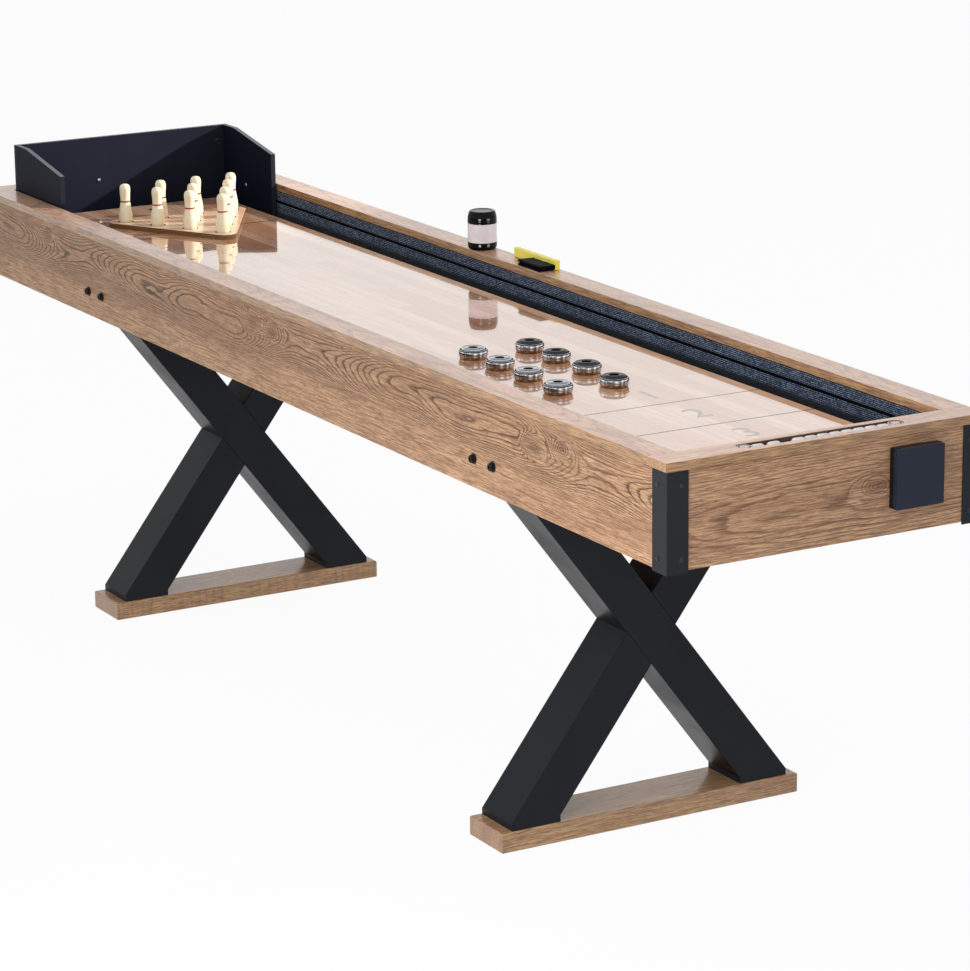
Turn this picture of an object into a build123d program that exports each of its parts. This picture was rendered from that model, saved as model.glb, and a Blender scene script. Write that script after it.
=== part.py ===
from build123d import *

import os
from math import atan2, cos, pi, sin, sqrt

# Home shuffleboard table with a bowling set on its far end, in millimetres.
# X runs along the table towards the near end, which carries the score beads.
# Y runs across it and Z is up.  Left is -Y, as a player at the near end sees it.
# The origin is on the floor, under the middle of the cabinet.

# ---------------------------------------------------------------- cabinet
table_length = 2743.0
table_width = 612.0
table_height = 806.0

cap_thickness = 15.0
side_cap_width = 52.5
end_cap_width = 55.0
cap_edge_radius = 1.2

apron_thickness = 18.0
apron_setback = 5.5
apron_height = 163.0

playfield_depth = 42.0
playfield_thickness = 38.0
playfield_edge_radius = 1.0
side_gutter_width = 72.5
end_gutter_width = 114.0

carpet_thickness = 2.0
carpet_setback = 1.0
carpet_clearance = 1.0
carpet_joint_gap = 0.5
upper_carpet_height = 22.0
carpet_groove_height = 6.0

deck_thickness = 12.0
bearer_thickness = 18.0
bearer_width = 60.0
end_bearer_inset = 157.0

# ---------------------------------------------------------------- corner brackets
bracket_thickness = 2.0
bracket_side_leg = 42.0
bracket_end_leg = 40.0
bracket_top_gap = 2.5
bracket_drop = 4.0
bracket_screw_pitch = 119.0
bracket_screw_from_corner = 27.0
bracket_screw_diameter = 4.0
bracket_screw_depth = 14.0
bracket_screw_head_diameter = 8.0
bracket_screw_head_height = 2.0

# ---------------------------------------------------------------- legs
leg_inset = 577.5
leg_depth = 104.0
leg_beam_width = 78.0
leg_head_inset = 56.0
leg_foot_inset = 48.5
leg_side_clearance = 1.5
leg_edge_radius = 2.0
leg_plate_thickness = 10.0

foot_board_inset = 3.0
foot_board_width = 112.0
foot_board_thickness = 36.0
foot_board_edge_radius = 3.0
head_board_width = 112.0
head_board_thickness = 36.0

leg_bolt_pitch = 64.0
leg_bolt_diameter = 8.0
leg_bolt_clearance = 0.3
leg_bolt_grip = 45.0
leg_bolt_flange_diameter = 19.0
leg_bolt_flange_height = 2.0
leg_bolt_head_diameter = 14.5
leg_bolt_head_height = 6.0
leg_bolt_head_chamfer = 1.2
leg_bolt_socket_width = 6.0
leg_bolt_socket_depth = 3.5

# ---------------------------------------------------------------- backboard
backboard_thickness = 10.0
backboard_clearance = 3.5
backboard_rise = 97.0
backboard_front_rise = 65.0
backboard_level_length = 63.0
backboard_side_length = 243.0
backboard_screw_diameter = 4.0
backboard_screw_head_diameter = 9.0
backboard_screw_head_height = 2.5
backboard_side_screw_from_back = 117.0
backboard_side_screw_drop = 21.0
backboard_side_screw_grip = 15.0
backboard_back_screw_y = -60.0
backboard_back_screw_rise = 3.0
backboard_back_screw_depth = 8.0

# ---------------------------------------------------------------- score beads
scorer_slot_length = 315.0
scorer_slot_width = 27.0
scorer_pocket_depth = 8.0
scorer_boss_diameter = 25.0
scorer_boss_recess = 1.0
scorer_rod_diameter = 6.0
scorer_rod_depth = 10.0
scorer_rod_seat = 6.0
scorer_screw_diameter = 4.0
scorer_screw_depth = 12.0
scorer_screw_head_diameter = 9.0
scorer_screw_head_height = 1.0
bead_diameter = 21.0
bead_free_play = 33.0
bead_bore_clearance = 0.3
bead_edge_radius = 2.0
bead_gap = 0.1
bead_end_gap = 0.5
bead_group_count = 8
single_bead_count = 2
single_bead_gap = 7.9

# ---------------------------------------------------------------- storage box
storage_box_width = 93.0
storage_box_height = 100.0
storage_box_from_corner = 135.0
storage_box_below_top = 34.0
storage_box_base_depth = 10.0
storage_box_lid_depth = 10.8
storage_box_parting_gap = 0.2
storage_box_wall = 2.0
storage_box_corner_radius = 2.5
storage_box_front_radius = 1.8
hinge_barrel_diameter = 4.0
hinge_swing_clearance = 0.4
hinge_web = 0.6
hinge_base_knuckle_length = 20.0
hinge_knuckle_gap = 0.3
hinge_pin_diameter = 1.6
hinge_pin_clearance = 0.05
hinge_pin_end_inset = 0.5

# ---------------------------------------------------------------- pucks
puck_diameter = 53.5
puck_height = 20.0
puck_chamfer = 1.5
puck_cap_diameter = 43.0
puck_cap_rise = 3.0
puck_cap_edge_radius = 1.5
near_row_places = ((435.0, -115.0), (529.0, -115.0), (628.0, -115.0), (739.0, -122.0))
far_row_places = ((441.0, -3.0), (533.0, -3.0), (637.0, -3.0), (747.0, -15.0))

# ---------------------------------------------------------------- pins and rack
pin_height = 90.0
pin_base_diameter = 24.0
pin_belly_diameter = 29.0
pin_belly_height = 21.0
pin_neck_diameter = 20.0
pin_neck_height = 56.0
pin_head_diameter = 22.5
pin_base_chamfer = 1.2
pin_pitch = 81.6
pin_rows = 4
pin_back_row_from_board_end = 193.5
pin_triangle_y = -9.0
rack_thickness = 10.5
rack_margin = 30.0
rack_corner_radius = 25.0
rack_hole_clearance = 2.0
rack_edge_radius = 1.5

# ---------------------------------------------------------------- wax bottle and brush
bottle_x = -224.0
bottle_diameter = 58.0
bottle_body_height = 54.0
bottle_base_radius = 6.0
bottle_cap_height = 22.0
bottle_cap_top_diameter = 50.0
bottle_cap_edge_radius = 4.0
bottle_cap_dish_depth = 1.5
bottle_cap_rim = 3.5
bottle_cap_gap = 0.3
bottle_cap_top_wall = 4.0
bottle_neck_diameter = 38.0
bottle_neck_clearance = 0.3

brush_front_x = 37.0
brush_outer_inset = 4.0
brush_bar_length = 157.0
brush_bar_thickness = 11.0
brush_bar_height = 19.0
brush_bar_radius = 2.5
bristle_length = 85.0
bristle_reach = 35.0
bristle_root_height = 9.0
bristle_tip_height = 12.0

# ---------------------------------------------------------------- places worked out
half_length = table_length / 2
half_width = table_width / 2
cap_bottom = table_height - cap_thickness
cap_inner_x = half_length - end_cap_width
cap_inner_y = half_width - side_cap_width

apron_outer_x = half_length - apron_setback
apron_outer_y = half_width - apron_setback
apron_inner_x = apron_outer_x - apron_thickness
apron_inner_y = apron_outer_y - apron_thickness
apron_bottom = cap_bottom - apron_height

board_top = table_height - playfield_depth
board_half_length = cap_inner_x - end_gutter_width
board_half_width = cap_inner_y - side_gutter_width
deck_top = board_top - playfield_thickness
deck_bottom = deck_top - deck_thickness
bearer_bottom = deck_bottom - bearer_thickness
head_board_bottom = bearer_bottom - head_board_thickness

carpet_face_x = cap_inner_x + carpet_setback
carpet_face_y = cap_inner_y + carpet_setback
wall_face_x = carpet_face_x + carpet_thickness
wall_face_y = carpet_face_y + carpet_thickness
floor_carpet_top = deck_top + carpet_thickness
upper_carpet_bottom = cap_bottom - upper_carpet_height
lower_carpet_top = upper_carpet_bottom - carpet_groove_height
floor_carpet_x = board_half_length + carpet_clearance
floor_carpet_y = board_half_width + carpet_clearance

leg_x = half_length - leg_inset
leg_head_spread = 2 * (apron_inner_y - leg_head_inset)
leg_foot_spread = 2 * (apron_inner_y - leg_foot_inset)
leg_outer_width = 2 * (apron_inner_y - leg_side_clearance)
leg_bottom = foot_board_thickness + leg_plate_thickness
leg_top = head_board_bottom - leg_plate_thickness
leg_run = (leg_foot_spread + leg_head_spread) / 2
leg_angle = atan2(leg_top - leg_bottom, leg_run)
leg_half_section = leg_beam_width / 2 / sin(leg_angle)
leg_crossing = leg_bottom + (leg_top - leg_bottom) * leg_foot_spread / 2 / leg_run

backboard_outer_x = cap_inner_x - backboard_clearance
backboard_outer_y = cap_inner_y - backboard_clearance
backboard_inner_x = backboard_outer_x - backboard_thickness
backboard_inner_y = backboard_outer_y - backboard_thickness

scorer_x = half_length - end_cap_width / 2
scorer_floor = cap_bottom - scorer_pocket_depth
scorer_rod_z = table_height - scorer_rod_depth
scorer_boss_y = (scorer_slot_length - scorer_slot_width) / 2
scorer_boss_inner_y = scorer_boss_y - scorer_boss_diameter / 2
bead_length = (2 * scorer_boss_inner_y - bead_free_play) / (bead_group_count + single_bead_count)

sides = (("left", -1), ("right", 1))
ends = (("near", 1), ("far", -1))

os.makedirs("parts", exist_ok=True)


def write(piece, name):
    """Label a finished piece and write it as one STEP file."""
    piece.part.label = name
    export_step(piece.part, f"parts/{name}.step")


def slab(x_range, y_range, z_range):
    """Add a block between two corners to the part under construction."""
    size = [high - low for low, high in (x_range, y_range, z_range)]
    centre = [(high + low) / 2 for low, high in (x_range, y_range, z_range)]
    with Locations(tuple(centre)):
        Box(*size)


def span(first, second):
    """The two values in rising order."""
    return (min(first, second), max(first, second))


# ================================================================ cabinet
# Screws that hold the backboard's side panels: one through each panel, the
# wall carpet behind it and into the gutter wall.
side_screw_x = -backboard_outer_x + backboard_side_screw_from_back
side_screw_z = table_height - backboard_side_screw_drop
side_screw_length = wall_face_y + backboard_side_screw_grip - backboard_inner_y


def side_screw_planes():
    """Planes on the side panels' inner faces, one at each screw, facing inwards."""
    return [
        Plane((side_screw_x, y_sign * backboard_inner_y, side_screw_z), z_dir=(0, -y_sign, 0))
        for _, y_sign in sides
    ]


def bracket_screw_planes():
    """Planes on the brackets' outer faces, one at each screw, facing outwards."""
    planes = []
    middle = (cap_bottom - bracket_top_gap + apron_bottom - bracket_drop) / 2
    face_x = apron_outer_x + bracket_thickness
    face_y = apron_outer_y + bracket_thickness
    for _, x_sign in ends:
        for _, y_sign in sides:
            for z in (middle - bracket_screw_pitch / 2, middle + bracket_screw_pitch / 2):
                side_place = (x_sign * (face_x - bracket_screw_from_corner), y_sign * face_y, z)
                end_place = (x_sign * face_x, y_sign * (face_y - bracket_screw_from_corner), z)
                planes.append(Plane(side_place, z_dir=(0, y_sign, 0)))
                planes.append(Plane(end_place, z_dir=(x_sign, 0, 0)))
    return planes


def leg_bolt_planes():
    """Planes on the side aprons' outer faces, one at each leg bolt, facing outwards."""
    bolt_z = head_board_bottom + head_board_thickness / 2
    return [
        Plane((x_sign * leg_x + offset, y_sign * apron_outer_y, bolt_z), z_dir=(0, y_sign, 0))
        for _, x_sign in ends
        for _, y_sign in sides
        for offset in (-leg_bolt_pitch / 2, leg_bolt_pitch / 2)
    ]


def drill(planes, radius, depth):
    """Cut a round hole inwards from each plane in the part under construction."""
    with Locations(*planes):
        Cylinder(
            radius,
            depth,
            align=(Align.CENTER, Align.CENTER, Align.MAX),
            mode=Mode.SUBTRACT,
        )


def cut_scorer_slot(floor):
    """Cut the score beads' slot at the near end, from a floor up through the cap."""
    with BuildSketch(Plane.XY.offset(floor)) as slot:
        with Locations((scorer_x, 0)):
            SlotOverall(scorer_slot_length, scorer_slot_width, rotation=90)
    extrude(slot.sketch, amount=table_height - floor, mode=Mode.SUBTRACT)


bracket_hole_depth = bracket_thickness + bracket_screw_depth

for side_name, y_sign in sides:
    with BuildPart() as side_apron:
        slab(
            (-apron_outer_x, apron_outer_x),
            span(y_sign * apron_inner_y, y_sign * apron_outer_y),
            (apron_bottom, cap_bottom),
        )
        drill(bracket_screw_planes(), bracket_screw_diameter / 2, bracket_hole_depth)
        drill(leg_bolt_planes(), leg_bolt_diameter / 2 + leg_bolt_clearance, apron_thickness)
    write(side_apron, f"side_apron_{side_name}")

for end_name, x_sign in ends:
    with BuildPart() as end_apron:
        slab(
            span(x_sign * apron_inner_x, x_sign * apron_outer_x),
            (-apron_inner_y, apron_inner_y),
            (apron_bottom, cap_bottom),
        )
        drill(bracket_screw_planes(), bracket_screw_diameter / 2, bracket_hole_depth)
        cut_scorer_slot(scorer_floor)
    write(end_apron, f"end_apron_{end_name}")

# Side caps butt between the end caps, which run the full width.
for side_name, y_sign in sides:
    with BuildPart() as side_cap:
        slab(
            (-cap_inner_x, cap_inner_x),
            span(y_sign * cap_inner_y, y_sign * half_width),
            (cap_bottom, table_height),
        )
        fillet(side_cap.faces().sort_by(Axis.Z)[-1].edges(), cap_edge_radius)
    write(side_cap, f"top_cap_{side_name}")

for end_name, x_sign in ends:
    with BuildPart() as end_cap:
        slab(
            span(x_sign * cap_inner_x, x_sign * half_length),
            (-half_width, half_width),
            (cap_bottom, table_height),
        )
        fillet(end_cap.faces().sort_by(Axis.Z)[-1].edges(), cap_edge_radius)
        cut_scorer_slot(cap_bottom)
    write(end_cap, f"top_cap_{end_name}")

# Solid walls fill between the caps' inner edges and the aprons.
with BuildPart() as side_gutter_walls:
    for _, y_sign in sides:
        slab(
            (-apron_inner_x, apron_inner_x),
            span(y_sign * wall_face_y, y_sign * apron_inner_y),
            (deck_top, cap_bottom),
        )
    drill(side_screw_planes(), backboard_screw_diameter / 2, side_screw_length)
write(side_gutter_walls, "side_gutter_walls")

with BuildPart() as end_gutter_walls:
    for _, x_sign in ends:
        slab(
            span(x_sign * wall_face_x, x_sign * apron_inner_x),
            (-wall_face_y, wall_face_y),
            (deck_top, cap_bottom),
        )
    cut_scorer_slot(scorer_floor)
write(end_gutter_walls, "end_gutter_walls")

with BuildPart() as gutter_deck:
    slab(
        (-apron_inner_x, apron_inner_x),
        (-apron_inner_y, apron_inner_y),
        (deck_bottom, deck_top),
    )
write(gutter_deck, "gutter_deck")

with BuildPart() as playfield:
    slab(
        (-board_half_length, board_half_length),
        (-board_half_width, board_half_width),
        (deck_top, board_top),
    )
    fillet(playfield.faces().sort_by(Axis.Z)[-1].edges(), playfield_edge_radius)
write(playfield, "playfield_board")

# Two strips of ribbed carpet on every gutter wall, with a bare groove between.
wall_strip_heights = ((upper_carpet_bottom, cap_bottom), (floor_carpet_top, lower_carpet_top))
with BuildPart() as wall_carpets:
    for heights in wall_strip_heights:
        for _, y_sign in sides:
            slab(
                (-wall_face_x, wall_face_x),
                span(y_sign * carpet_face_y, y_sign * wall_face_y),
                heights,
            )
        for _, x_sign in ends:
            slab(
                span(x_sign * carpet_face_x, x_sign * wall_face_x),
                (carpet_joint_gap - carpet_face_y, carpet_face_y - carpet_joint_gap),
                heights,
            )
    drill(side_screw_planes(), backboard_screw_diameter / 2, side_screw_length)
write(wall_carpets, "wall_carpets")

with BuildPart() as floor_carpets:
    for _, y_sign in sides:
        slab(
            (-wall_face_x, wall_face_x),
            span(y_sign * floor_carpet_y, y_sign * wall_face_y),
            (deck_top, floor_carpet_top),
        )
    for _, x_sign in ends:
        slab(
            span(x_sign * floor_carpet_x, x_sign * wall_face_x),
            (carpet_joint_gap - floor_carpet_y, floor_carpet_y - carpet_joint_gap),
            (deck_top, floor_carpet_top),
        )
write(floor_carpets, "floor_carpets")

# Bearers cross under the deck: over each leg's head board, half way between
# and at the table's middle, and near both ends.
end_bearer_x = apron_inner_x - end_bearer_inset
bearer_places = (-end_bearer_x, -leg_x, -leg_x / 2, 0, leg_x / 2, leg_x, end_bearer_x)
with BuildPart() as deck_bearers:
    for x in bearer_places:
        slab(
            (x - bearer_width / 2, x + bearer_width / 2),
            (-apron_inner_y, apron_inner_y),
            (bearer_bottom, deck_bottom),
        )
write(deck_bearers, "deck_bearers")

# ================================================================ corner brackets
bracket_bottom = apron_bottom - bracket_drop
bracket_top = cap_bottom - bracket_top_gap
bracket_outer_x = apron_outer_x + bracket_thickness
bracket_outer_y = apron_outer_y + bracket_thickness
with BuildPart() as corner_brackets:
    for _, x_sign in ends:
        for _, y_sign in sides:
            slab(
                span(x_sign * (bracket_outer_x - bracket_side_leg), x_sign * bracket_outer_x),
                span(y_sign * apron_outer_y, y_sign * bracket_outer_y),
                (bracket_bottom, bracket_top),
            )
            slab(
                span(x_sign * apron_outer_x, x_sign * bracket_outer_x),
                span(y_sign * (bracket_outer_y - bracket_end_leg), y_sign * bracket_outer_y),
                (bracket_bottom, bracket_top),
            )
    drill(bracket_screw_planes(), bracket_screw_diameter / 2, bracket_hole_depth)
write(corner_brackets, "corner_brackets")


def screw(head_diameter, head_height, shank_diameter, depth):
    """A domed screw about Z: the head's seat at z = 0 and the shank below it."""
    head_radius = head_diameter / 2
    dome_radius = (head_radius**2 + head_height**2) / (2 * head_height)
    with BuildPart() as turned:
        with BuildSketch(Plane.XZ):
            with BuildLine():
                RadiusArc((0, head_height), (head_radius, 0), dome_radius)
                Polyline(
                    (head_radius, 0),
                    (shank_diameter / 2, 0),
                    (shank_diameter / 2, -depth),
                    (0, -depth),
                    (0, head_height),
                )
            make_face()
        revolve(axis=Axis.Z)
    return turned.part


bracket_screw = screw(
    bracket_screw_head_diameter, bracket_screw_head_height, bracket_screw_diameter, bracket_hole_depth
)
with BuildPart() as bracket_screws:
    with Locations(*bracket_screw_planes()):
        add(bracket_screw)
write(bracket_screws, "bracket_screws")

# ================================================================ legs
# Each leg frame is an X: one beam runs right through, from the left side's
# head to the right side's foot, and two arms butt on its faces.
through_beam_ends = ((-leg_head_spread / 2, leg_top), (leg_foot_spread / 2, leg_bottom))
crossing_beam_ends = ((leg_head_spread / 2, leg_top), (-leg_foot_spread / 2, leg_bottom))


def beam_face(beam_ends, mode=Mode.ADD):
    """Add one leaning beam's outline, cut level at both ends, to a sketch."""
    (top_y, top_z), (bottom_y, bottom_z) = beam_ends
    with BuildLine() as outline:
        Polyline(
            (top_y - leg_half_section, top_z),
            (top_y + leg_half_section, top_z),
            (bottom_y + leg_half_section, bottom_z),
            (bottom_y - leg_half_section, bottom_z),
            close=True,
        )
    make_face(outline.edges(), mode=mode)


def leg_limit(low, high):
    """Keep only what lies inside the leg's outer width, between two heights."""
    with Locations((0, (low + high) / 2)):
        Rectangle(leg_outer_width, high - low, mode=Mode.INTERSECT)


def soften_beam(beam, beam_ends):
    """Round the beam's long edges."""
    (top_y, top_z), (bottom_y, bottom_z) = beam_ends
    along = Axis((0, 0, 0), (0, top_y - bottom_y, top_z - bottom_z))
    fillet(beam.edges().filter_by(along), leg_edge_radius)


with BuildPart() as through_beams:
    for _, x_sign in ends:
        with BuildSketch(Plane.YZ.offset(x_sign * leg_x)):
            beam_face(through_beam_ends)
            leg_limit(leg_bottom, leg_top)
        extrude(amount=leg_depth / 2, both=True)
    soften_beam(through_beams, through_beam_ends)
write(through_beams, "leg_through_beams")

for arm_name, low, high in (("upper", leg_crossing, leg_top), ("lower", leg_bottom, leg_crossing)):
    with BuildPart() as arms:
        for _, x_sign in ends:
            with BuildSketch(Plane.YZ.offset(x_sign * leg_x)):
                beam_face(crossing_beam_ends)
                beam_face(through_beam_ends, Mode.SUBTRACT)
                leg_limit(low, high)
            extrude(amount=leg_depth / 2, both=True)
        soften_beam(arms, crossing_beam_ends)
    write(arms, f"leg_{arm_name}_arms")

# Flat plates close the beams' ends and carry them on the boards.
with BuildPart() as leg_plates:
    for _, x_sign in ends:
        for _, y_sign in sides:
            for spread, low in (
                (leg_foot_spread, foot_board_thickness),
                (leg_head_spread, leg_top),
            ):
                inner = spread / 2 - leg_half_section
                outer = min(spread / 2 + leg_half_section, leg_outer_width / 2)
                slab(
                    (x_sign * leg_x - leg_depth / 2, x_sign * leg_x + leg_depth / 2),
                    span(y_sign * inner, y_sign * outer),
                    (low, low + leg_plate_thickness),
                )
write(leg_plates, "leg_plates")

with BuildPart() as foot_boards:
    for _, x_sign in ends:
        with Locations((x_sign * leg_x, 0, foot_board_thickness / 2)):
            Box(foot_board_width, table_width - 2 * foot_board_inset, foot_board_thickness)
    fillet(foot_boards.edges().filter_by(Plane.XY), foot_board_edge_radius)
write(foot_boards, "foot_boards")

with BuildPart() as head_boards:
    for _, x_sign in ends:
        slab(
            (x_sign * leg_x - head_board_width / 2, x_sign * leg_x + head_board_width / 2),
            (-apron_inner_y, apron_inner_y),
            (head_board_bottom, bearer_bottom),
        )
    drill(leg_bolt_planes(), leg_bolt_diameter / 2, apron_thickness + leg_bolt_grip)
write(head_boards, "leg_head_boards")

leg_bolt_top = leg_bolt_flange_height + leg_bolt_head_height
with BuildPart() as leg_bolt:
    with BuildSketch(Plane.XZ):
        with BuildLine():
            Polyline(
                (0, leg_bolt_top),
                (leg_bolt_head_diameter / 2 - leg_bolt_head_chamfer, leg_bolt_top),
                (leg_bolt_head_diameter / 2, leg_bolt_top - leg_bolt_head_chamfer),
                (leg_bolt_head_diameter / 2, leg_bolt_flange_height),
                (leg_bolt_flange_diameter / 2, leg_bolt_flange_height),
                (leg_bolt_flange_diameter / 2, 0),
                (leg_bolt_diameter / 2, 0),
                (leg_bolt_diameter / 2, -apron_thickness - leg_bolt_grip),
                (0, -apron_thickness - leg_bolt_grip),
                (0, leg_bolt_top),
            )
        make_face()
    revolve(axis=Axis.Z)
    with BuildSketch(Plane.XY.offset(leg_bolt_top)):
        RegularPolygon(radius=leg_bolt_socket_width / 2, side_count=6, major_radius=False)
    extrude(amount=-leg_bolt_socket_depth, mode=Mode.SUBTRACT)

with BuildPart() as leg_bolts:
    with Locations(*leg_bolt_planes()):
        add(leg_bolt.part)
write(leg_bolts, "leg_bolts")

# ================================================================ backboard
# Three panels stand on the gutter's floor at the far end.  The side panels'
# tops run level from the back and then slope down to the front.
back_panel_screw = Plane(
    (-backboard_inner_x, backboard_back_screw_y, table_height + backboard_back_screw_rise),
    z_dir=(1, 0, 0),
)
with BuildPart() as back_panel:
    slab(
        (-backboard_outer_x, -backboard_inner_x),
        (-backboard_outer_y, backboard_outer_y),
        (floor_carpet_top, table_height + backboard_rise),
    )
    drill([back_panel_screw], backboard_screw_diameter / 2, backboard_back_screw_depth)
write(back_panel, "backboard_back")

side_front_x = -backboard_outer_x + backboard_side_length
side_level_x = -backboard_outer_x + backboard_level_length
for side_name, y_sign in sides:
    with BuildPart() as side_panel:
        with BuildSketch(Plane.XZ.offset(-y_sign * (backboard_inner_y + backboard_outer_y) / 2)):
            with BuildLine():
                Polyline(
                    (-backboard_inner_x, floor_carpet_top),
                    (-backboard_inner_x, table_height + backboard_rise),
                    (side_level_x, table_height + backboard_rise),
                    (side_front_x, table_height + backboard_front_rise),
                    (side_front_x, floor_carpet_top),
                    close=True,
                )
            make_face()
        extrude(amount=backboard_thickness / 2, both=True)
        drill(side_screw_planes(), backboard_screw_diameter / 2, side_screw_length)
    write(side_panel, f"backboard_{side_name}")

backboard_side_screw = screw(
    backboard_screw_head_diameter,
    backboard_screw_head_height,
    backboard_screw_diameter,
    side_screw_length,
)
backboard_back_screw = screw(
    backboard_screw_head_diameter,
    backboard_screw_head_height,
    backboard_screw_diameter,
    backboard_back_screw_depth,
)
with BuildPart() as backboard_screws:
    with Locations(*side_screw_planes()):
        add(backboard_side_screw)
    with Locations(back_panel_screw):
        add(backboard_back_screw)
write(backboard_screws, "backboard_screws")

# ================================================================ score beads
boss_top = table_height - scorer_boss_recess
rod_half_length = scorer_boss_inner_y + scorer_rod_seat
boss_screw_planes = [Plane((scorer_x, y_sign * scorer_boss_y, boss_top)) for _, y_sign in sides]
with BuildPart() as scorer_rod:
    with Locations((scorer_x, 0, scorer_rod_z)):
        Cylinder(scorer_rod_diameter / 2, 2 * rod_half_length, rotation=(90, 0, 0))
write(scorer_rod, "scorer_rod")

with BuildPart() as scorer_bosses:
    with Locations(*[(scorer_x, y_sign * scorer_boss_y, scorer_floor) for _, y_sign in sides]):
        Cylinder(
            scorer_boss_diameter / 2,
            boss_top - scorer_floor,
            align=(Align.CENTER, Align.CENTER, Align.MIN),
        )
    with Locations((scorer_x, 0, scorer_rod_z)):
        Cylinder(scorer_rod_diameter / 2, 2 * rod_half_length, rotation=(90, 0, 0), mode=Mode.SUBTRACT)
    drill(boss_screw_planes, scorer_screw_diameter / 2, scorer_screw_depth)
write(scorer_bosses, "scorer_bosses")

scorer_screw = screw(
    scorer_screw_head_diameter, scorer_screw_head_height, scorer_screw_diameter, scorer_screw_depth
)
with BuildPart() as scorer_screws:
    with Locations(*boss_screw_planes):
        add(scorer_screw)
write(scorer_screws, "scorer_screws")

with BuildPart() as bead:
    Cylinder(bead_diameter / 2, bead_length, rotation=(90, 0, 0))
    fillet(bead.edges(), bead_edge_radius)
    Cylinder(
        scorer_rod_diameter / 2 + bead_bore_clearance,
        bead_length,
        rotation=(90, 0, 0),
        mode=Mode.SUBTRACT,
    )

outermost_bead_y = scorer_boss_inner_y - bead_end_gap - bead_length / 2
second_bead_y = -outermost_bead_y + bead_length + single_bead_gap
bead_places = {
    "score_bead_first": [-outermost_bead_y],
    "score_bead_second": [second_bead_y],
    "score_bead_group": [
        outermost_bead_y - index * (bead_length + bead_gap) for index in range(bead_group_count)
    ],
}
for bead_name, bead_ys in bead_places.items():
    with BuildPart() as beads:
        with Locations(*[(scorer_x, y, scorer_rod_z) for y in bead_ys]):
            add(bead.part)
    write(beads, bead_name)

# ================================================================ storage box
# A shallow case on the near apron: a fixed base and a deeper lid that swings
# up about a pin along the top of the parting line.
storage_box_y = apron_outer_y - storage_box_from_corner
box_low_y = storage_box_y - storage_box_width / 2
box_high_y = storage_box_y + storage_box_width / 2
box_top = table_height - storage_box_below_top
box_bottom = box_top - storage_box_height
parting_x = apron_outer_x + storage_box_base_depth
lid_back_x = parting_x + storage_box_parting_gap
lid_front_x = lid_back_x + storage_box_lid_depth
barrel_radius = hinge_barrel_diameter / 2
hinge_x = parting_x + storage_box_parting_gap / 2
hinge_z = box_top - barrel_radius
swing_half_width = barrel_radius + hinge_swing_clearance
lid_knuckle_ends = (
    box_low_y + hinge_base_knuckle_length + hinge_knuckle_gap,
    box_high_y - hinge_base_knuckle_length - hinge_knuckle_gap,
)
base_knuckle_spans = (
    (box_low_y, box_low_y + hinge_base_knuckle_length),
    (box_high_y - hinge_base_knuckle_length, box_high_y),
)


def clear_hinge():
    """Cut both walls back around the hinge barrel, over the box's whole width."""
    with Locations((hinge_x, storage_box_y, hinge_z - swing_half_width)):
        Box(
            2 * swing_half_width,
            storage_box_width,
            2 * swing_half_width,
            align=(Align.CENTER, Align.CENTER, Align.MIN),
            mode=Mode.SUBTRACT,
        )


def knuckle(y_span, web_side):
    """Add a hinge knuckle and the web that ties it to the base (-1) or the lid (1)."""
    low, high = y_span
    web_x = hinge_x + web_side * (swing_half_width + hinge_web)
    with Locations((hinge_x, (low + high) / 2, hinge_z)):
        Cylinder(barrel_radius, high - low, rotation=(90, 0, 0))
    slab(span(hinge_x, web_x), y_span, (hinge_z - barrel_radius, hinge_z + barrel_radius))


def bore_hinge():
    """Bore for the hinge pin over the box's whole width."""
    with Locations((hinge_x, storage_box_y, hinge_z)):
        Cylinder(
            hinge_pin_diameter / 2 + hinge_pin_clearance,
            storage_box_width,
            rotation=(90, 0, 0),
            mode=Mode.SUBTRACT,
        )


with BuildPart() as box_base:
    slab((apron_outer_x, parting_x), (box_low_y, box_high_y), (box_bottom, box_top))
    fillet(box_base.edges().filter_by(Axis.X), storage_box_corner_radius)
    offset(
        amount=-storage_box_wall,
        openings=box_base.faces().sort_by(Axis.X)[-1],
        kind=Kind.INTERSECTION,
    )
    clear_hinge()
    for knuckle_span in base_knuckle_spans:
        knuckle(knuckle_span, -1)
    bore_hinge()
write(box_base, "storage_box_base")

with BuildPart() as box_lid:
    slab((lid_back_x, lid_front_x), (box_low_y, box_high_y), (box_bottom, box_top))
    fillet(box_lid.edges().filter_by(Axis.X), storage_box_corner_radius)
    fillet(box_lid.faces().sort_by(Axis.X)[-1].edges(), storage_box_front_radius)
    with BuildSketch(Plane.YZ.offset(lid_back_x)):
        with Locations((storage_box_y, (box_bottom + box_top) / 2)):
            RectangleRounded(
                storage_box_width - 2 * storage_box_wall,
                storage_box_height - 2 * storage_box_wall,
                storage_box_corner_radius - storage_box_wall,
            )
    extrude(amount=storage_box_lid_depth - storage_box_wall, mode=Mode.SUBTRACT)
    clear_hinge()
    knuckle(lid_knuckle_ends, 1)
    bore_hinge()
write(box_lid, "storage_box_lid")

with BuildPart() as hinge_pin:
    with Locations((hinge_x, storage_box_y, hinge_z)):
        Cylinder(
            hinge_pin_diameter / 2,
            storage_box_width - 2 * hinge_pin_end_inset,
            rotation=(90, 0, 0),
        )
write(hinge_pin, "storage_box_hinge_pin")

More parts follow.
